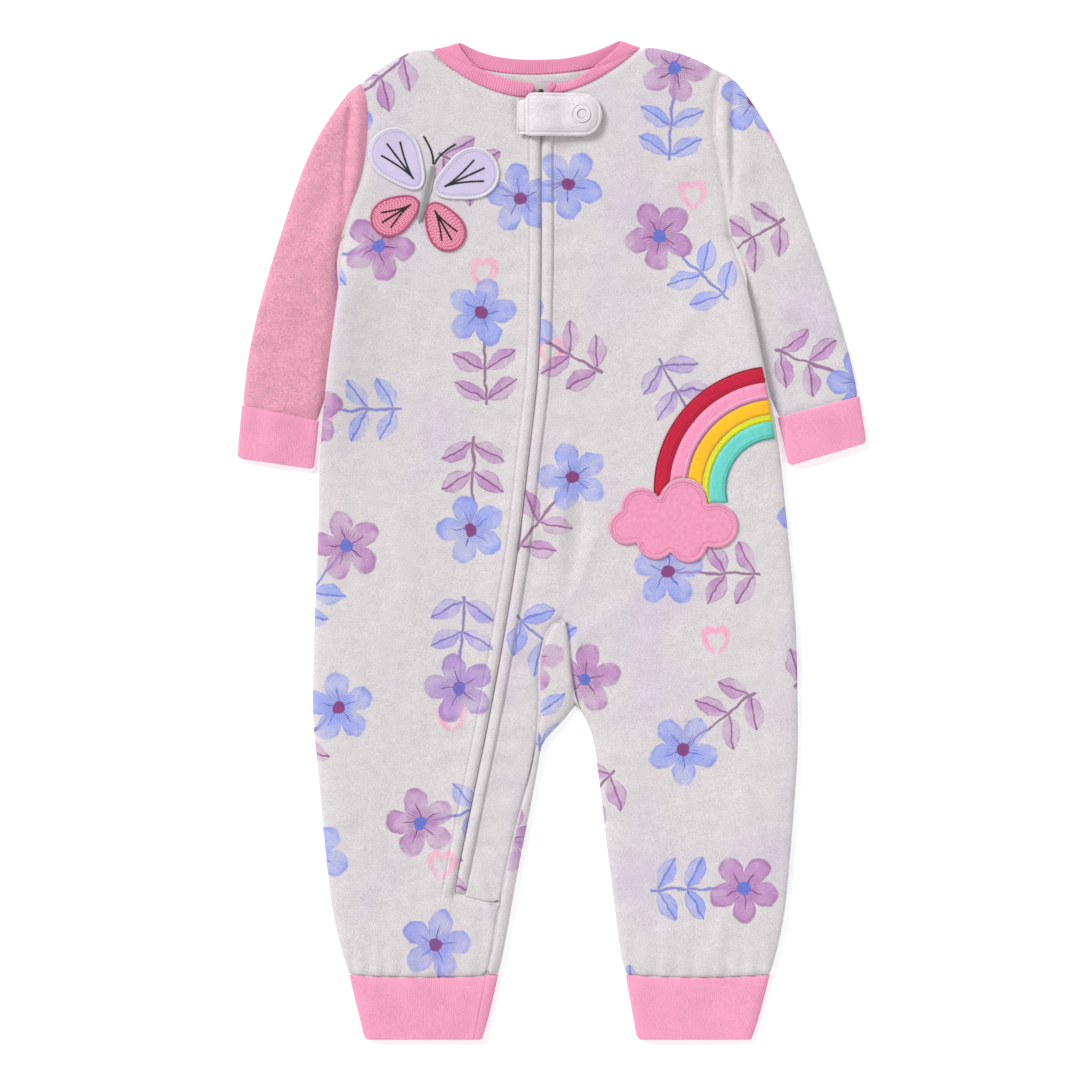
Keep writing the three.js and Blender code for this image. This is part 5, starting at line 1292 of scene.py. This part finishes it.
# Each kind of sewing: from one stitch to the next, a stitch's length, width and thickness, and how
# uneven the stitches are.
STITCHES = {
    "cloud rim": (0.5, (0.55, 2.5, 0.9), 0.05),
    "cloud line": (1.5, (1.3, 0.4, 0.35), 0.05),
    "band edge": (0.5, (0.5, 1.5, 0.7), 0.05),
    "band line": (1.5, (1.45, 0.5, 0.4), 0.04),
    "body": (0.55, (0.55, 3.6, 1.0), 0.05),
    "wing edging": (0.5, (0.55, 1.9, 0.8), 0.05),
    "wing line": (1.7, (1.3, 0.4, 0.35), 0.05),
    "wing filling": (2.0, (1.8, 0.95, 0.5), 0.07),
    "veins": (0.45, (0.5, 1.35, 0.8), 0.08),
    "antennae": (0.45, (0.5, 1.4, 0.75), 0.08),
    "zip teeth": (1.35, (0.8, 1.7, 1.3), 0.0),
}


def sewn(name, lines, material, slot, pitch, size, unevenness, seed=1):
    """Stitches of one thread along some lines, whose points are in millimetres."""
    curve = bpy.data.curves.new(name, "CURVE")
    curve.dimensions = "3D"
    for points, closed in lines:
        spline = curve.splines.new("POLY")
        spline.points.add(len(points) - 1)
        rows = np.hstack([np.asarray(points) * MM, np.ones((len(points), 1))])
        spline.points.foreach_set("co", rows.ravel())
        spline.use_cyclic_u = closed
    path = bpy.data.objects.new(f"{name}_path", curve)
    bpy.context.scene.collection.objects.link(path)
    modifier = path.modifiers.new("Stitches", "NODES")
    modifier.node_group = thread_tree()
    inputs = {item.name: item.identifier for item in modifier.node_group.interface.items_tree
              if item.in_out == "INPUT"}
    modifier[inputs["Pitch"]] = pitch * MM
    modifier[inputs["Size"]] = [value * MM for value in size]
    modifier[inputs["Unevenness"]] = unevenness
    modifier[inputs["Seed"]] = seed
    modifier[inputs["Thread"]] = material
    graph = bpy.context.evaluated_depsgraph_get()
    mesh = bpy.data.meshes.new_from_object(path.evaluated_get(graph))
    bpy.data.objects.remove(path)
    piece = bpy.data.objects.new(name, mesh)
    bpy.context.scene.collection.objects.link(piece)
    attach(piece, "root")
    return piece


def laid_on(surface, plan, rise):
    """Points of a plan line laid on a surface, a little above it."""
    return [(x, y, surface.height(x, y) + rise) for x, y in plan]


def even(plan, step, closed=False):
    """Points at even steps along a plan line."""
    points = np.array(plan, float)
    if closed:
        points = np.vstack([points, points[:1]])
    walked = np.concatenate([[0], np.cumsum(np.hypot(*np.diff(points, axis=0).T))])
    count = max(2, round(walked[-1] / step))
    places = np.linspace(0, walked[-1], count + 1)
    if closed:
        places = places[:-1]
    return np.stack([np.interp(places, walked, points[:, k]) for k in (0, 1)], 1)


def inset(plan, distance):
    """A closed plan line, drawn anticlockwise, moved inwards by a distance."""
    points = np.array(plan, float)
    along = np.roll(points, -1, axis=0) - np.roll(points, 1, axis=0)
    along /= np.hypot(*along.T)[:, None]
    moved = points + distance * np.stack([-along[:, 1], along[:, 0]], 1)
    gaps = np.hypot(*(moved[:, None, :] - points[None, :, :]).transpose(2, 0, 1)).min(1)
    return moved[gaps > abs(distance) * 0.93]


# How high a patch's rim stands on the cloth, and how deep its underside lies in the nap.
PATCH_LIFT, PATCH_SUNK = 0.1, 0.25


def patch_shell(name, rings, surface, thick, round_edge=1.3, wrap=True):
    """A patch in closed rings or open rows of plan points, laid on a surface with a rounded rim."""
    rows = [np.asarray(ring) for ring in rings]
    sides = [] if wrap else [rows[-1], [row[0] for row in rows], [row[-1] for row in rows]]
    rim = np.vstack([rows[0], *sides])
    points = []
    for face in (1, 0):
        for ring in rows:
            for x, y in ring:
                off = np.hypot(rim[:, 0] - x, rim[:, 1] - y).min()
                t = min(off / round_edge, 1.0)
                crown = thick * math.sqrt(1 - (1 - t) ** 2)
                points.append((x, y, surface.height(x, y) + (PATCH_LIFT + crown if face else -PATCH_SUNK)))
    wide = len(rows[0])
    half = len(rows) * wide
    faces = []
    for j in range(len(rows) - 1):
        for i in range(wide if wrap else wide - 1):
            k = (i + 1) % wide
            quad = (j * wide + i, j * wide + k, (j + 1) * wide + k, (j + 1) * wide + i)
            faces.append(quad)
            faces.append(tuple(half + q for q in reversed(quad)))
    border = [(i, (i + 1) % wide) for i in range(wide if wrap else wide - 1)]
    if not wrap:
        last = (len(rows) - 1) * wide
        border += [(last + i + 1, last + i) for i in range(wide - 1)]
        border += [(j * wide + wide - 1, (j + 1) * wide + wide - 1) for j in range(len(rows) - 1)]
        border += [((j + 1) * wide, j * wide) for j in range(len(rows) - 1)]
    faces += [(b, a, a + half, b + half) for a, b in border]
    if wrap:
        inner = (len(rows) - 1) * wide
        for start in (inner, half + inner):
            ring = np.array(points[start:start + wide])
            points.append(tuple(ring.mean(axis=0)))
            faces += [(start + i, start + (i + 1) % wide, len(points) - 1) for i in range(wide)]
    return new_object(name, closed_mesh(name, points, faces))


def cloud_reach(angle):
    """How far the cloud's rim is from its centre in one direction."""
    direction = (math.cos(angle), math.sin(angle))
    reach = 0.0
    for x, y, radius in CLOUD_LOBES:
        along = x * direction[0] + y * direction[1]
        off = x * direction[1] - y * direction[0]
        if abs(off) < radius:
            reach = max(reach, along + math.sqrt(radius ** 2 - off ** 2))
    return reach


def ring_of(centre, reach, share, steps):
    """A closed ring of plan points round a centre, at a share of its rim's reach."""
    angles = np.arange(steps) * 2 * math.pi / steps
    far = [share * reach(a) for a in angles]
    return [(centre[0] + r * math.cos(a), centre[1] + r * math.sin(a)) for r, a in zip(far, angles)]


def wing_reach(long, wide, axis, flare):
    """The reach of an egg-shaped wing from its centre, as a function of direction."""
    def reach(angle):
        local = angle - axis
        width = wide * (1 + flare * math.cos(local))
        return long * width / math.hypot(width * math.cos(local), long * math.sin(local))
    return reach


def on_axis(centre, axis, along, off):
    """Plan points some way along an axis through a centre, and some way off to its left."""
    return np.stack([
        centre[0] + along * math.cos(axis) - off * math.sin(axis),
        centre[1] + along * math.sin(axis) + off * math.cos(axis)], 1)


# The rows of stitches that fill a lower wing: from row to row, the least number of points in one, the
# step between them, and how far they stay from the rim.
FILL = {"row": 1.1, "least": 6, "step": 0.5, "clear": 1.9}


def wing_rows(centre, reach, axis, long):
    """Rows of plan points that fill a wing alongside its axis, clear of its edging."""
    rows = []
    for number, off in enumerate(np.arange(-long, long, FILL["row"])):
        along = np.arange(-long, long, FILL["step"]) + STITCHES["wing filling"][0] / 2 * (number % 2)
        radius = np.hypot(along, off)
        limit = np.array([reach(axis + math.atan2(off, a)) for a in along])
        within = along[radius < limit - FILL["clear"]]
        if len(within) >= FILL["least"]:
            rows.append(on_axis(centre, axis, within, off))
    return rows


# Shares of a patch's reach at which its rings lie, closer together at its rounded rim.
PATCH_RINGS = [1, 0.985, 0.96, 0.93, 0.88, 0.8, 0.7, 0.58, 0.45, 0.3, 0.15, 0.02]


def fronts():
    """The fronts' upper surface."""
    if "surface" not in MADE:
        MADE["surface"] = Surface([MADE["right"], MADE["left"]])
    return MADE["surface"]


# Where the search for an arc's lower end starts, its step, and how far the end stays from the cloud.
ARC_START, ARC_STEP, ARC_CLEAR = 3.4, 0.004, 0.6


def band_points(radius, count):
    """Plan points of one arc of the rainbow, from the cloud up to the side seam."""
    angle = ARC_START
    while True:
        x = RAINBOW[0] + radius * math.cos(angle)
        y = RAINBOW[1] + radius * math.sin(angle)
        off = (x - CLOUD[0], y - CLOUD[1])
        if math.hypot(*off) - cloud_reach(math.atan2(off[1], off[0])) > ARC_CLEAR:
            break
        angle -= ARC_STEP
    top = math.pi / 2
    for _ in range(12):
        y = RAINBOW[1] + radius * math.sin(top)
        side = float(line_at([(row[0], row[2]) for row in SIDES], y))
        top = math.acos((side - RAINBOW_SEAM_INSET - RAINBOW[0]) / radius)
    turns = np.linspace(angle, top, count)
    return np.stack([RAINBOW[0] + radius * np.cos(turns), RAINBOW[1] + radius * np.sin(turns)], 1)


# Threads of each band: along its outer edge, along its inner edge, and in a line within the latter.
BAND_THREADS = {
    "rainbow_crimson": ("crimson_thread", None, "crimson_thread"),
    "rainbow_pink": (None, "mauve_thread", "pink_thread"),
    "rainbow_amber": (None, None, None),
    "rainbow_lemon": ("lemon", None, None),
    "rainbow_turquoise": (None, "turquoise_thread", "turquoise_thread"),
}
# How far in from a rim the middle of its edging and the line within lie.
CLOUD_INSETS = {"edging": 1.25, "line": 3.7}
BAND_INSETS = {"edging": 0.75, "line": 2.5}
WING_INSETS = {"edging": 0.8, "line": 2.8}
# How high a line of stitches lies on a patch, and the step of the points that carry stitches.
LINE_LIFT = 0.02
RIM_STEP = 0.8


class ROMPER_OT_rainbow(bpy.types.Operator):
    """Appliques the cloud and the rainbow on the left hip"""
    bl_idname = "romper.rainbow"
    bl_label = "Cloud and rainbow"

    def execute(self, context):
        surface = fronts()
        felt = woven("knitted_felt_cloud", "cloud", thread=0.6, roughness=0.85, sheen=0.2, weave=0.08)
        rings = [ring_of(CLOUD, cloud_reach, share, 220) for share in PATCH_RINGS]
        cloud = patch_shell("cloud_patch_felt", rings, surface, 1.0)
        finish_piece(cloud, "cloud_patch", "cloud_felt", felt)
        rim = even(rings[0], RIM_STEP, closed=True)
        on_cloud = Surface([cloud])
        edge = laid_on(on_cloud, inset(rim, CLOUD_INSETS["edging"]), 0.0)
        sewn("cloud_rim_stitching", [(edge, True)], thread("cloud_rim"), "cloud_felt", *STITCHES["cloud rim"])
        line = laid_on(on_cloud, inset(rim, CLOUD_INSETS["line"]), LINE_LIFT)
        sewn("cloud_inner_line", [(line, True)], thread("cloud_line"), "cloud_felt", *STITCHES["cloud line"])

        for node, outer, inner, key in BANDS:
            count = max(50, round(outer * 1.3))
            radii = np.linspace(inner, outer, 9 if outer - inner > 5 else 5)
            rows = [band_points(radius, count) for radius in radii]
            band = patch_shell(f"{node}_felt", rows, surface, 0.9, 0.9, wrap=False)
            slot = f"{key.replace('band_', '')}_felt"
            felt = woven(f"knitted_felt_{key}", key, thread=0.6, roughness=0.8, sheen=0.15, weave=0.08)
            finish_piece(band, node, slot, felt)
            top = Surface([band])
            on_outer, on_inner, on_line = BAND_THREADS[node]
            edges = ((outer - BAND_INSETS["edging"], on_outer), (inner + BAND_INSETS["edging"], on_inner))
            for radius, shade in edges:
                if shade:
                    line = laid_on(top, even(band_points(radius, 80), RIM_STEP), 0.0)
                    sewn(f"{node}_edge_{radius:.0f}", [(line, False)], thread(shade), slot,
                         *STITCHES["band edge"])
            if on_line:
                line = laid_on(top, even(band_points(inner + BAND_INSETS["line"], 80), RIM_STEP), LINE_LIFT)
                sewn(f"{node}_line", [(line, False)], thread(on_line), slot, *STITCHES["band line"])
        return {"FINISHED"}


# The veins of a wing: lean to the side, and start and end along its axis, as shares of its half sizes.
VEINS = [(-0.34, -0.62, 0.42), (0.0, -0.66, 0.6), (0.34, -0.62, 0.42)]
VEIN_LIFT = 0.15
# How far an antenna reaches past the body, and how far it starts and leans to its side.
ANTENNA = {"long": 15, "start": 0.6, "lean": 9.5}


class ROMPER_OT_butterfly(bpy.types.Operator):
    """Appliques the butterfly on the right chest"""
    bl_idname = "romper.butterfly"
    bl_label = "Butterfly"

    def execute(self, context):
        surface = fronts()
        finishes = {
            "upper": ("lavender_satin", woven("lavender_satin", "satin", 0.35, 0.42, 0.5, 0.3)),
            # The lower wings' ground is a darker copy of their stitches' pink: painted shade between the
            # stitches.
            "lower": ("pink_stitching", woven("dense_pink_stitching", "stitch_ground", 0.55, 0.5, 0.4, 0.2)),
            "body": ("silver_thread", woven("dense_silver_stitching", "silver", 0.5, 0.4, 0.5, 0.1)),
        }
        for node, distance, long, wide, heading, flare in WINGS:
            axis = math.radians(heading) + BUTTERFLY_TURN
            centre = (BUTTERFLY[0] + distance * math.cos(axis), BUTTERFLY[1] + distance * math.sin(axis))
            reach = wing_reach(long, wide, axis, flare)
            kind = node.split("_")[2] if "wing" in node else "body"
            slot, material = finishes[kind]
            rings = [ring_of(centre, reach, share, 90) for share in PATCH_RINGS]
            wing = patch_shell(f"{node}_patch", rings, surface, 0.9)
            finish_piece(wing, node, slot, material)
            top = Surface([wing])
            if kind == "body":
                plan = on_axis(centre, axis, long * np.linspace(-0.9, 0.9, 24), 0.0)
                sewn("butterfly_body_satin", [(laid_on(top, plan, -0.15), False)], thread("silver"), slot,
                     *STITCHES["body"])
                continue
            rim = even(ring_of(centre, reach, 1, 120), RIM_STEP, closed=True)
            edging, line = ("edging", "satin_line") if kind == "upper" else ("deep_pink", "deep_pink")
            edge = laid_on(top, inset(rim, WING_INSETS["edging"]), 0.0)
            sewn(f"{node}_edging", [(edge, True)], thread(edging), slot, *STITCHES["wing edging"])
            inner = laid_on(top, inset(rim, WING_INSETS["line"]), LINE_LIFT)
            sewn(f"{node}_line", [(inner, True)], thread(line), slot, *STITCHES["wing line"])
            if kind == "lower":
                rows = [(laid_on(top, row, 0.0), False) for row in wing_rows(centre, reach, axis, long)]
                # These stitches are a lighter copy of the lower wings' pink: painted light on the stitches.
                sewn(f"{node}_filling", rows, thread("stitch_pink"), slot, *STITCHES["wing filling"], seed=3)
            veins = []
            for lean, start, end in VEINS:
                t = np.linspace(0, 1, 14)
                along = long * (start + (end - start) * t)
                off = wide * lean * (1.4 * t ** 1.4)
                veins.append((laid_on(top, on_axis(centre, axis, along, off), VEIN_LIFT), False))
            sewn(f"{node}_veins", veins, thread("black"), slot, *STITCHES["veins"])
        body_distance, body_long = WINGS[-1][1:3]
        axis = math.radians(90) + BUTTERFLY_TURN
        lines = []
        for side in (-1, 1):
            t = np.linspace(0, 1, 18)
            along = body_distance + body_long + ANTENNA["long"] * t
            off = side * (ANTENNA["start"] + ANTENNA["lean"] * t ** 1.7)
            lines.append((laid_on(surface, on_axis(BUTTERFLY, axis, along, off), VEIN_LIFT), False))
        sewn("butterfly_antennae", lines, thread("black"), "silver_thread", *STITCHES["antennae"])
        return {"FINISHED"}


# The neck's topstitching: the seam it follows, from and to. It lies this far above the seam.
NECK_STITCHED = [(NECK_FRONT, -72, -11.5), (NECK_FRONT, -2.0, 51.5), (NECK_BACK, -49, 29)]
NECK_STITCH_ABOVE = 1.3


class ROMPER_OT_sewing(bpy.types.Operator):
    """Sews the topstitching of the zip's welts and of the neck"""
    bl_idname = "romper.sewing"
    bl_label = "Sewing"

    def execute(self, context):
        size = sizes()
        run = (size["stitch_length"], size["thread"], size["thread"] * 0.8)
        binding = Surface([MADE["binding"]])
        lines = []
        for table, start, end in NECK_STITCHED:
            x = np.linspace(start, end, 60)
            plan = even(np.stack([x, line_at(table, x) + NECK_STITCH_ABOVE], 1), 1.2)
            lines.append((laid_on(binding, plan, 0.0), False))
        surface = fronts()
        welts = []
        y = np.linspace(ZIP_END + 1.5, GUARD["bottom"] - 1, 240)
        for side in (-1, 1):
            plan = np.stack([line_at(ZIP, y) + side * (WELT["stitched"] - 0.1), y], 1)
            welts.append((laid_on(surface, plan, 0.05), False))
        sewn("zip_topstitching", welts, thread("topstitch"), "printed_fleece", size["stitch_pitch"],
             (run[0], run[1] * 0.8, run[2] * 0.8), 0.06)
        sewn("neck_topstitching", lines, thread("neck_thread"), "neck_rib", size["stitch_pitch"] * 0.8,
             (run[0] * 0.75, run[1], run[2]), 0.06)
        return {"FINISHED"}


# Where the zip's teeth end under the guard, and how high they lie. Towards its nose, from and to these
# heights up the zip, the slider gets narrower by this share.
TEETH_TOP = 264
TEETH_HEIGHT = 5.7
SLIDER_NOSE = (274.0, 277.4)
NOSE_NARROWED = 0.62


class ROMPER_OT_zip(bpy.types.Operator):
    """Sets in the zip with its slider"""
    bl_idname = "romper.zip"
    bl_label = "Zip"

    def execute(self, context):
        tape = woven("woven_zip_tape", "white", thread=0.7, roughness=0.8)
        finish_piece(cloth_from("zip_tape", 2), "zip_tape", "zip_white", tape)
        y = np.linspace(ZIP_END + 1, TEETH_TOP, 200)
        line = np.stack([line_at(ZIP, y), y, np.full_like(y, TEETH_HEIGHT)], 1)
        moulded = lacquer("moulded_nylon_teeth", "white", 0.45)
        coil = sewn("zip_teeth", [(line, False)], moulded, "zip_white", *STITCHES["zip teeth"])
        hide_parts("zip_coil")
        painted = lacquer("black_painted_zinc", "black", 0.4)
        for node in ("zip_slider", "zip_pull"):
            part = new_object(f"{node}_painted", packed_copy(node))
            points = points_of(part.data)
            nose = 1 - NOSE_NARROWED * smooth(*SLIDER_NOSE, points[:, 1])
            points[:, 0] = ZIP[0][1] + (points[:, 0] - ZIP[0][1]) * nose
            set_points(part.data, points)
            edge = part.modifiers.new("Bevel", "BEVEL")
            edge.width = 0.35 * MM
            edge.segments = 3
            edge.limit_method = "ANGLE"
            set_in(baked(part), node, "slider_black", painted)
        return {"FINISHED"}


# Heights between which a point comes to belong to the guard's upper face.
GUARD_FACE = (10.3, 10.9)
# The rim that is pressed in all round, and the puff of the cloth within it.
GUARD_RIM = {"inset": 2.3, "width": 0.7, "depth": 0.42}
GUARD_PUFF = {"starts": 2.4, "full": 7.0, "rise": 0.5}
# Where the face steps down to the end that is sewn in, how far, and the groove of the stitches there.
GUARD_STEP = {"x": -16.1, "depth": 1.15, "groove": 0.55, "groove_width": 0.45}
# How far the sewn end's top and bottom are cut in, and the round of the tab's corners beside it.
GUARD_SEWN = {"top": 3.6, "bottom": 1.26, "round": 5.0}
# The ring presses the cloth in, just outside it and in its hole.
RING_PRESS = {"places": (5.4, 2.9), "width": 0.5, "depth": 0.55}


def guard_form(points):
    """Presses in the guard's rim, puffs its middle and steps down its sewn end."""
    x, y, z = points.T
    round_x = GUARD["right"] - GUARD["end_round"]
    middle = (GUARD["top"] + GUARD["bottom"]) / 2
    half = (GUARD["top"] - GUARD["bottom"]) / 2
    aside = np.clip(x - round_x, 0, None)
    above = np.clip(np.abs(y - middle) - (half - GUARD["end_round"]), 0, None)
    off = GUARD["end_round"] - np.hypot(aside, above)
    past_step = x - GUARD_STEP["x"]
    off = np.minimum(off, np.where(past_step > 0, past_step, 99))
    upper = smooth(*GUARD_FACE, z)
    press = GUARD_RIM["depth"] * np.exp(-((off - GUARD_RIM["inset"]) / GUARD_RIM["width"]) ** 2)
    puff = GUARD_PUFF["rise"] * smooth(GUARD_PUFF["starts"], GUARD_PUFF["full"], off)
    puff += 0.25 * swell(x, y, 17, 12)
    from_snap = np.hypot(x - SNAP[0], y - SNAP[1])
    for place in RING_PRESS["places"]:
        press += RING_PRESS["depth"] * np.exp(-((from_snap - place) / RING_PRESS["width"]) ** 2)
    step = GUARD_STEP["depth"] * smooth(0.35, -0.45, past_step)
    step += GUARD_STEP["groove"] * np.exp(-((past_step + 0.5) / GUARD_STEP["groove_width"]) ** 2)
    moved = points.copy()
    moved[:, 2] = z + upper * (puff - press - step)
    turn = np.clip((GUARD_SEWN["round"] - past_step) / GUARD_SEWN["round"], 0, 1)
    rounded = 1 - np.sqrt(1 - turn ** 2)
    moved[:, 1] -= GUARD_SEWN["top"] * rounded * np.clip((y - middle) / half, 0, 1) ** 3
    moved[:, 1] += GUARD_SEWN["bottom"] * rounded * np.clip((middle - y) / half, 0, 1) ** 3
    return moved


def turned_ring(name, centre, base, profile, steps=48):
    """A ring turned from a closed profile of radius and height rows."""
    points = [
        (centre[0] + radius * math.cos(a), centre[1] + radius * math.sin(a), base + height)
        for a in np.arange(steps) * 2 * math.pi / steps for radius, height in profile
    ]
    faces = faces_between(steps, len(profile), joined=True)
    return new_object(name, closed_mesh(name, points, faces))


# The snap's ring is seated on the cloth this far from its middle, and sinks in a little.
RING_SEAT, RING_SUNK = 4.2, 0.25
# Radius and height round the section of the ring, and of the stud.
RING_PROFILE = [
    (3.3, 0.1), (3.25, 0.55), (3.4, 0.85), (3.62, 0.9), (3.84, 0.7), (3.98, 0.45), (4.15, 0.42),
    (4.35, 0.65), (4.6, 0.85), (4.85, 0.75), (5.05, 0.45), (5.1, 0.1),
]
STUD_PROFILE = [
    (0.01, 0.0), (0.01, 0.9), (0.9, 0.95), (1.3, 0.8), (1.5, 0.4), (2.2, 0.3), (3.2, 0.28), (3.55, 0.15),
    (3.6, 0.0),
]


class ROMPER_OT_guard(bpy.types.Operator):
    """Folds the chin guard over the zip's top, with its snap"""
    bl_idname = "romper.guard"
    bl_label = "Chin guard"

    def execute(self, context):
        guard = new_object("chin_guard_cloth", packed_copy("chin_guard"))
        subdivided(guard, 4)
        set_points(guard.data, guard_form(points_of(guard.data)))
        finish_piece(
            guard, "chin_guard", "white_fleece", fleece("brushed_fleece_guard", ground="white"))
        lacquered = lacquer("white_lacquered_brass", "lacquer_white", 0.3)
        base = Surface([guard]).height(SNAP[0] + RING_SEAT, SNAP[1]) - RING_SUNK
        ring = turned_ring("snap_ring_lacquered", SNAP, base, RING_PROFILE)
        set_in(ring, "snap_ring", "snap_white", lacquered)
        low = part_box("snap_stud")[0][2] / MM
        stud = turned_ring("snap_stud_lacquered", SNAP, low, STUD_PROFILE)
        set_in(stud, "snap_stud", "snap_white", lacquered)
        return {"FINISHED"}


OPERATORS = [
    ROMPER_OT_stage, ROMPER_OT_panels, ROMPER_OT_sleeves, ROMPER_OT_cuffs, ROMPER_OT_neck, ROMPER_OT_zip,
    ROMPER_OT_guard, ROMPER_OT_seams, ROMPER_OT_rainbow, ROMPER_OT_butterfly, ROMPER_OT_sewing,
]


class ROMPER_PT_panel(bpy.types.Panel):
    """Lists the romper's pieces and its sizes and colours"""
    bl_idname = "ROMPER_PT_panel"
    bl_label = "Romper"
    bl_space_type = "VIEW_3D"
    bl_region_type = "UI"
    bl_category = "Romper"

    def draw(self, context):
        column = self.layout.column()
        for operator in OPERATORS:
            column.operator(operator.bl_idname)
        for group in (context.scene.romper_sizes, context.scene.romper_colours):
            for name in group.__annotations__:
                column.prop(group, name)


def register():
    for group in (RomperSizes, RomperColours, *OPERATORS, ROMPER_PT_panel):
        bpy.utils.register_class(group)
    bpy.types.Scene.romper_sizes = bpy.props.PointerProperty(type=RomperSizes)
    bpy.types.Scene.romper_colours = bpy.props.PointerProperty(type=RomperColours)


def unregister():
    del bpy.types.Scene.romper_sizes
    del bpy.types.Scene.romper_colours
    for group in reversed((RomperSizes, RomperColours, *OPERATORS, ROMPER_PT_panel)):
        bpy.utils.unregister_class(group)


def main():
    register()
    for operator in OPERATORS:
        group, name = operator.bl_idname.split(".")
        getattr(getattr(bpy.ops, group), name)()


if __name__ == "__main__":
    main()
